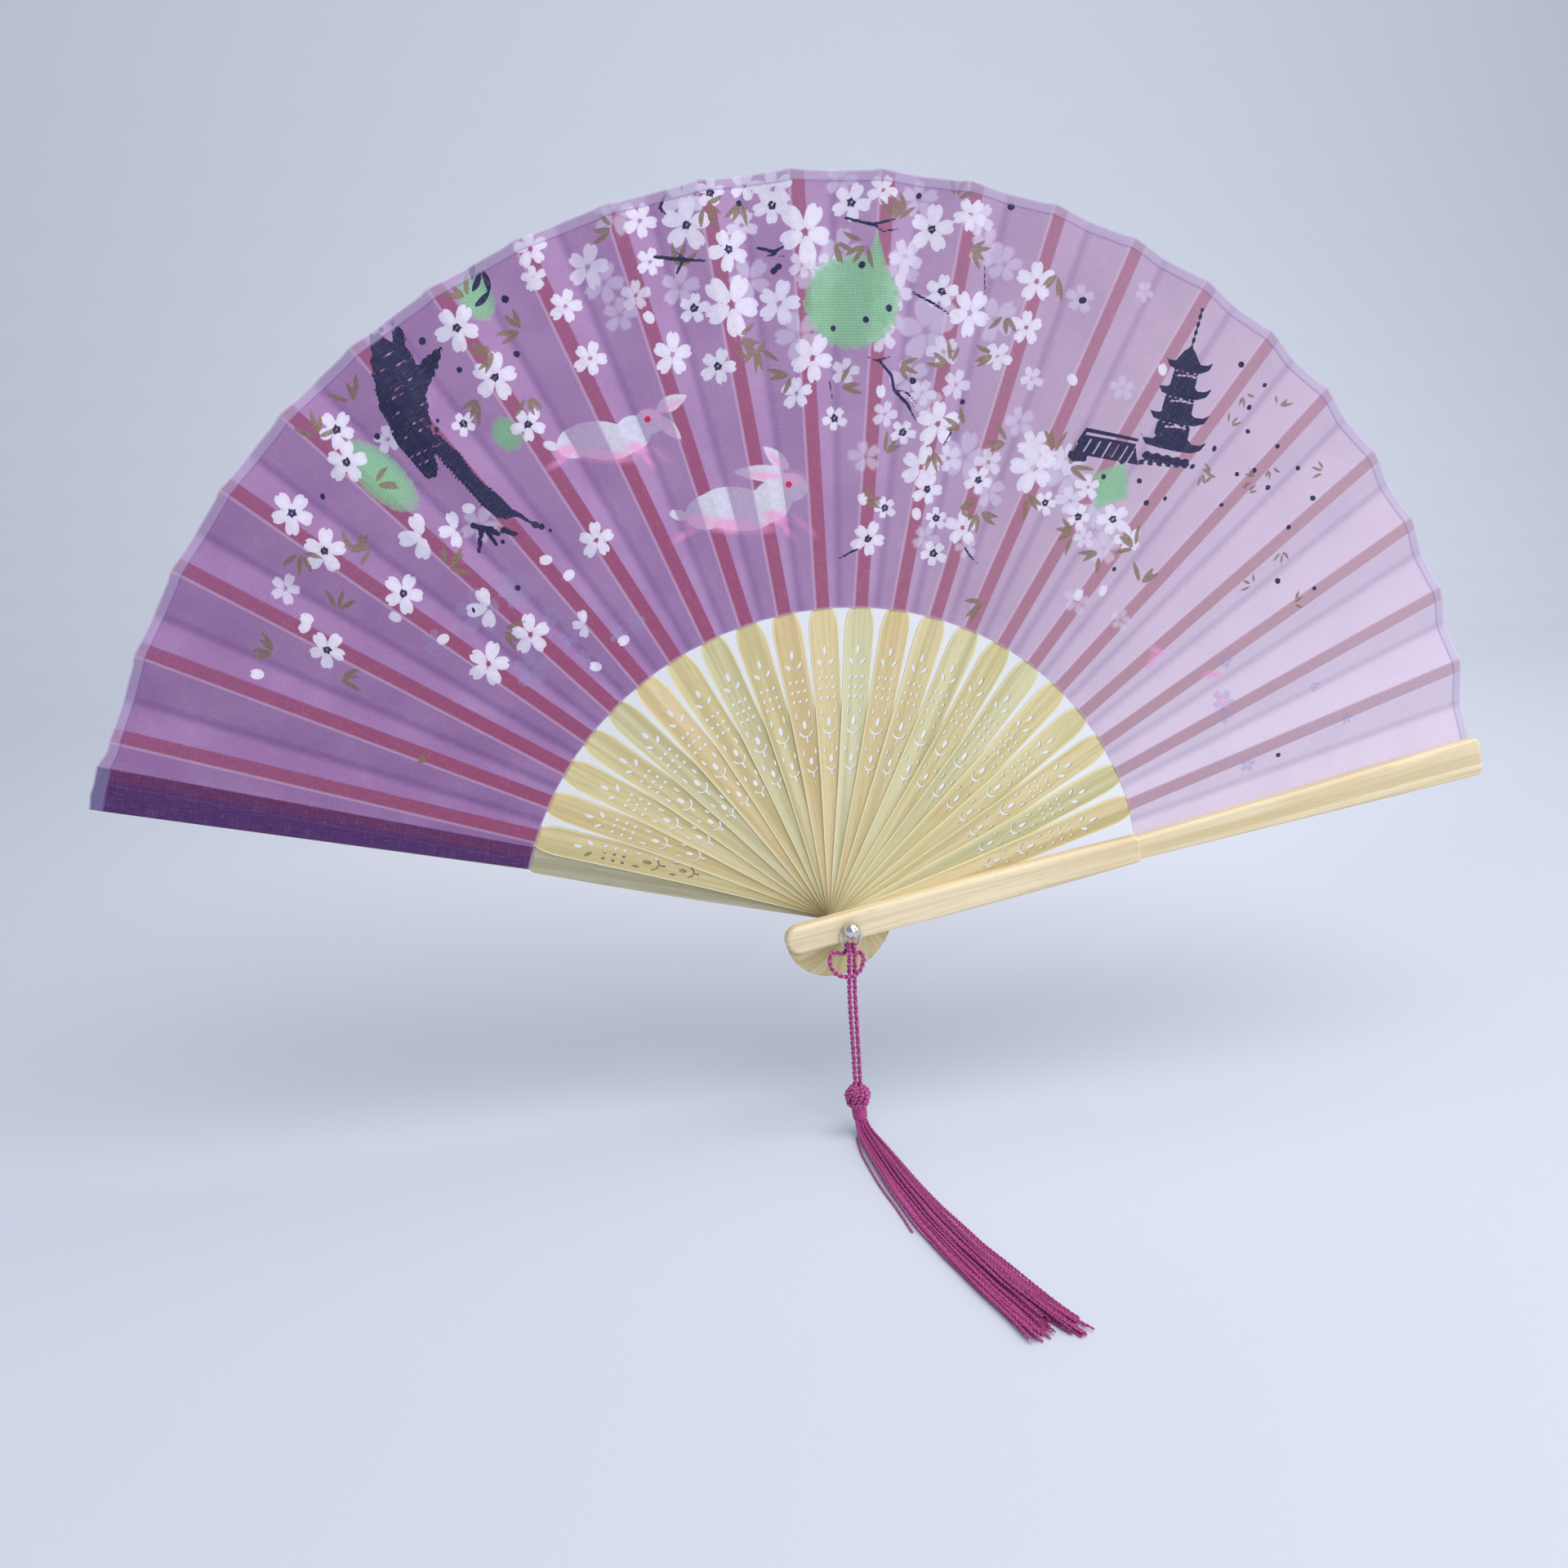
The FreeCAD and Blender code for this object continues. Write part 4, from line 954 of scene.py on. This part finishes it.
# ------------------------------------------------------------------ leaf material
def cloth():
    n = Nodes("printed_cloth")
    A = {k: n.attr("p_" + k) for k in LAY}
    pos, across, vd, rd, R, gd, side = (n.attr(k) for k in ("pos", "across", "vdist", "rdist", "radius", "guard", "side"))
    uvw = n.uv("cloth", (1, 1, 1))
    # the cloth's colour along the leaf; its paling towards the front guard end is painted light shining through the
    # cloth from behind
    base = n.ramp(n.math("DIVIDE", pos, 23.0), [
        (0.00, srgb(150, 106, 156)), (0.16, srgb(158, 116, 163)), (0.32, srgb(165, 125, 170)), (0.50, srgb(168, 132, 172)),
        (0.66, srgb(188, 163, 186)), (0.80, srgb(208, 190, 208)), (1.00, srgb(226, 213, 228)),
    ])
    # soft unevenness of the dye
    dye = n.noise(n.uv("cloth", (0.05, 0.05, 1)), 1.0, 3.0, 0.5)
    base = n.mix(n.step(dye, 0.35, 0.7, 0.0, 0.22), base, srgb(190, 158, 196))
    base = n.mix(n.step(dye, 0.62, 0.30, 0.0, 0.15), base, srgb(140, 106, 160))
    # painted shadow of the rib behind the cloth, where the rib stops light coming through; weaker towards the rim
    rib = n.step(n.math("ABSOLUTE", across), 1.95, 1.70)
    rib_shadow_col = n.ramp(n.math("DIVIDE", pos, 23.0), [
        (0.00, srgb(146, 70, 102)), (0.40, srgb(150, 74, 108)), (0.58, srgb(158, 92, 118)), (0.72, srgb(170, 120, 138)), (0.86, srgb(180, 142, 152)), (1.00, srgb(184, 152, 166)),
    ])
    fade = n.step(R, 100, 185, 0.98, 0.84)
    col = n.mix(n.math("MULTIPLY", rib, fade), base, rib_shadow_col)
    # folds: a pale line along each ridge, and painted shade, a deep tone, in each valley
    ridge = n.step(rd, 0.55, 0.10)
    col = n.mix(n.math("MULTIPLY", ridge, 0.34), col, srgb(226, 196, 222))
    valley_shade = n.step(n.math("ABSOLUTE", vd), 1.9, 0.0)
    valley_shade = n.math("MULTIPLY", valley_shade, n.step(pos, 0.9, 1.0))
    col = n.mix(n.math("MULTIPLY", valley_shade, n.step(pos, 2.0, 21.0, 0.40, 0.20, False)), col, srgb(88, 58, 120))
    # the cloth glued on the back guard, painted dark: painted shade where the guard behind lets no light through
    g = n.step(gd, -0.15, 0.35)
    guard_shade_col = n.mix(n.step(gd, 4.0, 2.4), srgb(74, 36, 94), srgb(96, 42, 88))
    guard_shade_col = n.mix(n.step(gd, 9.8, 11.2), guard_shade_col, srgb(60, 32, 86))
    col = n.mix(g, col, guard_shade_col)
    col = n.mix(n.math("MULTIPLY", n.step(n.math("ABSOLUTE", n.math("SUBTRACT", gd, 4.2)), 0.35, 0.05), 0.12), col, srgb(150, 100, 160))
    # print, from the palest ink to the darkest
    half = n.uv("cloth", (1.6, 1.6, 1))
    vor = n.t.nodes.new("ShaderNodeTexVoronoi")
    n.put(vor.inputs["Vector"], half)
    vor.inputs["Scale"].default_value = 1.0
    vor.inputs["Randomness"].default_value = 0.15
    dotty = n.step(vor.outputs["Distance"], 0.30, 0.42)
    mott = n.noise(n.uv("cloth", (0.7, 0.7, 1)), 1.0, 3.0, 0.6)
    col = n.mix(n.math("MULTIPLY", n.step(A["soft"], -0.25, 0.35), 0.50), col, srgb(214, 204, 228))
    col = n.mix(n.math("MULTIPLY", n.step(A["soft2"], -0.12, 0.18), 0.72), col, srgb(222, 214, 232))
    col = n.mix(n.math("MULTIPLY", n.step(A["grey"], -0.1, 0.2), 0.42), col, srgb(150, 142, 186))
    col = n.mix(n.math("MULTIPLY", n.step(A["green"], -0.1, 0.35), n.step(A["green"], 0.0, 2.2, 0.55, 0.90)), col, n.mix(dotty, srgb(104, 168, 128), srgb(142, 194, 146)))
    hare_c = n.mix(n.step(mott, 0.35, 0.65), srgb(222, 220, 232), srgb(206, 210, 222))
    # painted light: the hare's white and pink print drawn strongest from each rib to the next valley, weaker elsewhere
    lit = n.math("MAXIMUM", n.step(vd, 0.15, -0.15), n.step(n.math("ABSOLUTE", across), 2.0, 1.7))
    power = n.math("ADD", n.math("MULTIPLY", lit, 0.50), 0.34)
    col = n.mix(n.math("MULTIPLY", n.step(A["hare"], -0.10, 0.15), power), col, hare_c)
    col = n.mix(n.math("MULTIPLY", n.step(A["pink"], -0.60, 1.20), n.math("ADD", n.math("MULTIPLY", lit, 0.34), 0.42)), col, srgb(232, 152, 200))
    col = n.mix(n.step(A["red"], -0.1, 0.1), col, srgb(206, 30, 74))
    col = n.mix(n.math("MULTIPLY", n.step(A["white"], -0.06, 0.10), n.step(mott, 0.30, 0.62, 0.84, 0.97)), col, srgb(228, 222, 236))
    col = n.mix(n.math("MULTIPLY", n.step(A["white"], 0.75, 0.35), n.math("MULTIPLY", n.step(A["white"], 0.0, 0.12), 0.16)), col, srgb(206, 180, 214))
    spark = n.noise(n.uv("cloth", (5.5, 5.5, 1)), 1.0, 1.0, 0.5)
    goldc = n.mix(n.step(spark, 0.52, 0.66), srgb(112, 92, 74), srgb(184, 156, 104))
    gold_m = n.math("MULTIPLY", n.step(A["gold"], -0.06, 0.08), 0.88)
    col = n.mix(gold_m, col, goldc)
    dry = n.noise(n.uv("cloth", (2.2, 2.2, 1)), 1.0, 2.0, 0.6)
    navy_m = n.math("MULTIPLY", n.step(A["navy"], -0.05, 0.07), n.step(dry, 0.28, 0.40, 0.80, 1.0))
    col = n.mix(navy_m, col, srgb(30, 34, 66))
    # hem: a folded edge, paler where the light comes through, with a line of stitches' shadow
    hem = n.step(R, 187.55, 187.75)
    col = n.mix(n.math("MULTIPLY", hem, 0.46), col, srgb(186, 176, 204))
    line_ = n.step(n.math("ABSOLUTE", n.math("SUBTRACT", R, 187.6)), 0.30, 0.08)
    col = n.mix(n.math("MULTIPLY", line_, 0.40), col, srgb(120, 84, 150))
    edge = n.step(R, 189.5, 189.85)
    # painted shade: the hem drawn darker where it lies over the back guard
    hem_guard_shade = n.math("MULTIPLY", g, hem)
    col = n.mix(n.math("MULTIPLY", hem_guard_shade, 0.72), col, srgb(96, 90, 132))
    col = n.mix(n.math("MULTIPLY", edge, 0.5), col, srgb(222, 216, 232))
    lowe = n.step(R, 85.5, 85.05)
    col = n.mix(n.math("MULTIPLY", lowe, 0.35), col, srgb(206, 186, 214))
    # weave
    wv = n.uv("cloth", (2 * math.pi / 0.44, 2 * math.pi / 0.44, 1))
    sp = n.t.nodes.new("ShaderNodeSeparateXYZ")
    n.put(sp.inputs[0], wv)
    weave = n.math("MULTIPLY", n.math("SINE", sp.outputs[0]), n.math("SINE", sp.outputs[1]))
    slub = n.noise(n.uv("cloth", (0.25, 4.5, 1)), 1.0, 2.0, 0.6)
    slub2 = n.noise(n.uv("cloth", (4.5, 0.25, 1)), 1.0, 2.0, 0.6)
    wt = n.math("ADD", n.math("MULTIPLY", weave, 0.5), 0.5)
    col = n.mix(n.math("MULTIPLY", wt, 0.10), col, srgb(90, 60, 130))
    col = n.mix(n.math("MULTIPLY", n.step(n.math("ADD", slub, slub2), 1.02, 1.35), 0.10), col, srgb(232, 222, 240))
    # the back: the same cloth, with the print showing through faintly
    backc = n.mix(0.55, col, base)
    backc = n.mix(0.18, backc, srgb(226, 216, 236))
    col = n.mix(side, col, backc)
    n.put(n.b.inputs["Base Color"], col)
    n.put(n.b.inputs["Roughness"], n.math("SUBTRACT", 0.74, n.math("MULTIPLY", gold_m, 0.26)))
    n.b.inputs["Specular IOR Level"].default_value = 0.28
    n.b.inputs["Sheen Weight"].default_value = 0.18
    n.b.inputs["Sheen Roughness"].default_value = 0.45
    n.b.inputs["Sheen Tint"].default_value = (0.93, 0.86, 1.0, 1.0)
    h = n.math("ADD", n.math("MULTIPLY", weave, 0.6), n.math("ADD", slub, slub2))
    n.bump(h, 0.00007, 0.6)
    return n.mat


CLOTH = cloth()
start = 0
leaf_area = []
for k, g in enumerate(grids):
    C, Rn = g["X"].shape
    cnt = C * Rn
    P = np.stack([g["X"], g["Y"], g["Z"]], -1)  # columns, rows, 3
    dc, dr = np.gradient(P, axis=0), np.gradient(P, axis=1)
    nor = np.cross(dr, dc)
    nor /= np.linalg.norm(nor, axis=-1)[..., None]
    if nor[..., 1].mean() > 0:
        nor = -nor
    # at the ribs neighbouring panels share one straight-forward normal, so that they meet exactly
    flat = np.zeros_like(nor)
    flat[..., 1] = -1.0
    w = np.ones(C)
    w[0] = w[-1] = 0.0
    nor = nor * w[:, None, None] + flat * (1 - w)[:, None, None]
    F3 = (P + nor * TH / 2) * MM
    B3 = (P - nor * TH / 2) * MM
    idx = np.arange(cnt).reshape(C, Rn)
    q = np.stack([idx[:-1, :-1], idx[1:, :-1], idx[1:, 1:], idx[:-1, 1:]], -1).reshape(-1, 4)
    test = np.cross((F3[1, 0] - F3[0, 0]), (F3[1, 1] - F3[0, 0]))
    if test[1] > 0:  # the front faces -Y
        q = q[:, ::-1]
    V = [F3.reshape(-1, 3), B3.reshape(-1, 3)]
    faces = [q, q[:, ::-1] + cnt]
    src = [np.arange(cnt), np.arange(cnt)]
    sidev = [np.zeros(cnt), np.ones(cnt)]
    base_i = 2 * cnt
    mid3 = P.reshape(-1, 3).mean(0) * MM
    for loop in (idx[:, -1], idx[::-1, 0], idx[0, :], idx[-1, ::-1]):
        a_, b_ = F3.reshape(-1, 3)[loop], B3.reshape(-1, 3)[loop]
        nn = len(loop)
        V += [a_, b_]
        src += [loop, loop]
        sidev += [np.zeros(nn), np.zeros(nn)]
        i = np.arange(nn - 1)
        w4 = np.stack([base_i + i, base_i + i + 1, base_i + nn + i + 1, base_i + nn + i], -1)
        fn = np.cross(a_[1] - a_[0], b_[0] - a_[0])
        if fn @ (a_[nn // 2] - mid3) < 0:
            w4 = w4[:, ::-1]
        faces.append(w4)
        base_i += 2 * nn
    V = np.vstack(V)
    faces = np.vstack(faces)
    src = np.concatenate(src)
    sidev = np.concatenate(sidev)
    me = bpy.data.meshes.new("leaf_cloth_%02d" % k)
    me.vertices.add(len(V))
    me.vertices.foreach_set("co", V.astype(np.float32).ravel())
    me.loops.add(faces.size)
    me.loops.foreach_set("vertex_index", faces.astype(np.int32).ravel())
    me.polygons.add(len(faces))
    me.polygons.foreach_set("loop_start", (np.arange(len(faces)) * 4).astype(np.int32))
    me.update(calc_edges=True)
    me.polygons.foreach_set("use_smooth", [True] * len(faces))
    vals = {"pos": g["s"], "across": g["across"], "vdist": g["vdist"], "rdist": g["rdist"], "radius": g["R"], "guard": g["guard"]}
    vals = {n_: v.ravel()[src] for n_, v in vals.items()}
    vals["side"] = sidev
    for n_, v in LAY.items():
        vals["p_" + n_] = v[start:start + cnt][src]
    for n_, v in vals.items():
        me.attributes.new(n_, "FLOAT", "POINT").data.foreach_set("value", v.astype(np.float32))
    uv = me.uv_layers.new(name="cloth")
    uvv = np.stack([g["U"].ravel()[src], g["R"].ravel()[src]], 1)[faces.ravel()]
    uv.data.foreach_set("uv", uvv.astype(np.float32).ravel())
    me.validate()
    ob = link(bpy.data.objects.new("leaf_cloth_%02d" % k, me))
    me.materials.append(CLOTH)
    start += cnt
    e1_, e2_ = P[1:, :-1] - P[:-1, :-1], P[:-1, 1:] - P[:-1, :-1]
    area = np.linalg.norm(np.cross(e1_, e2_), axis=-1).sum()
    wide = float((g["U"][-1, -1] - g["U"][0, -1]))
    leaf_area.append((round(wide, 2), round(float(g["U"][-1, 0] - g["U"][0, 0]), 2), round(float(area), 1)))
    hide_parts("leaf_%02d" % k)
    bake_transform(ob)
print("leaf panels, rim width, inner width mm, area mm2:", leaf_area)

# ------------------------------------------------------------------ floor, backdrop and light
z0 = -0.060
prof = [(-5.0, z0), (-1.6, z0), (0.55, z0)]
for i in range(1, 17):
    a = math.pi / 2 * i / 16
    prof.append((0.55 + 0.6 * math.sin(a), z0 + 0.6 * (1 - math.cos(a))))
prof.append((1.15, 4.0))
fine_prof = []
for (ya_, za_), (yb_, zb_) in zip(prof[:-1], prof[1:]):
    cnt_ = max(1, int(math.hypot(yb_ - ya_, zb_ - za_) / 0.014))
    for i in range(cnt_):
        fine_prof.append((ya_ + (yb_ - ya_) * i / cnt_, za_ + (zb_ - za_) * i / cnt_))
fine_prof.append(prof[-1])
fx = np.r_[np.linspace(-7.0, -0.85, 14), np.linspace(-0.8, 1.4, 150), np.linspace(1.45, 7.0, 12)]
fp = np.array(fine_prof)
vs = np.array([(x_, y_, z_) for y_, z_ in fp for x_ in fx])
nx_ = len(fx)
fi = np.arange(len(fp) * nx_).reshape(len(fp), nx_)
fs = np.stack([fi[:-1, :-1], fi[:-1, 1:], fi[1:, 1:], fi[1:, :-1]], -1).reshape(-1, 4)
# painted light: a soft pool of light on the backdrop behind the fan, placed where the camera sees it through the fan
eye = np.array(cam.matrix_world.translation)
tt = (0.007 - eye[1]) / np.maximum(vs[:, 1] - eye[1], 1e-3)
hx, hz = eye[0] + (vs[:, 0] - eye[0]) * tt, eye[2] + (vs[:, 2] - eye[2]) * tt
painted_light_pool = np.hypot((hx - 0.004) / 0.100, (hz - 0.048) / 0.062)
painted_light_pool = np.exp(-0.42 * np.minimum(painted_light_pool, 6) ** 2) * np.clip((vs[:, 1] - 0.02) / 0.25, 0, 1)
me = bpy.data.meshes.new("floor")
me.from_pydata(vs.tolist(), [], fs.tolist())
me.attributes.new("painted_light_pool", "FLOAT", "POINT").data.foreach_set("value", painted_light_pool.astype(np.float32))
me.polygons.foreach_set("use_smooth", [True] * len(fs))
me.update()
floor = link(bpy.data.objects.new("floor", me))
nf = Nodes("pale_floor")
fn = nf.noise(nf.coord(scale=(3, 3, 3)), 1.0, 2.0, 0.5)
nf.put(nf.b.inputs["Base Color"], nf.mix(nf.step(fn, 0.3, 0.7, 0.0, 0.12), (0.640, 0.673, 0.749, 1), (0.615, 0.648, 0.727, 1)))
fcol = nf.mix(nf.step(fn, 0.3, 0.7, 0.0, 0.12), (0.640, 0.673, 0.749, 1), (0.615, 0.648, 0.727, 1))
nf.put(nf.b.inputs["Base Color"], nf.mix(nf.attr("painted_light_pool"), fcol, (0.93, 0.93, 0.96, 1)))
nf.b.inputs["Roughness"].default_value = 0.75
me.materials.append(nf.mat)


def area_light(name, loc, target, size, power, col=(1, 1, 1)):
    ld = bpy.data.lights.new(name, "AREA")
    ld.shape = "RECTANGLE"
    ld.size, ld.size_y = size
    ld.energy = power
    ld.color = col
    o = link(bpy.data.objects.new(name, ld))
    o.location = loc
    o.rotation_euler = (Vector(target) - Vector(loc)).to_track_quat("-Z", "Y").to_euler()
    return o


area_light("key_top", (0.30, -0.35, 1.15), (0.05, 0.05, 0.05), (1.5, 1.0), 13.0, (0.99, 0.99, 1.0))
area_light("fill_front", (0.35, -1.5, 0.60), (0.0, 0.0, 0.05), (1.2, 0.9), 8.0, (0.98, 0.98, 1.0))
area_light("fill_right", (1.2, -0.5, 0.5), (0.0, 0.0, 0.08), (0.8, 0.8), 3.5, (1.0, 0.99, 0.97))
world = bpy.data.worlds.new("world")
scene.world = world
world.use_nodes = True
world.node_tree.nodes["Background"].inputs[0].default_value = (0.74, 0.82, 0.95, 1)
world.node_tree.nodes["Background"].inputs[1].default_value = 0.42
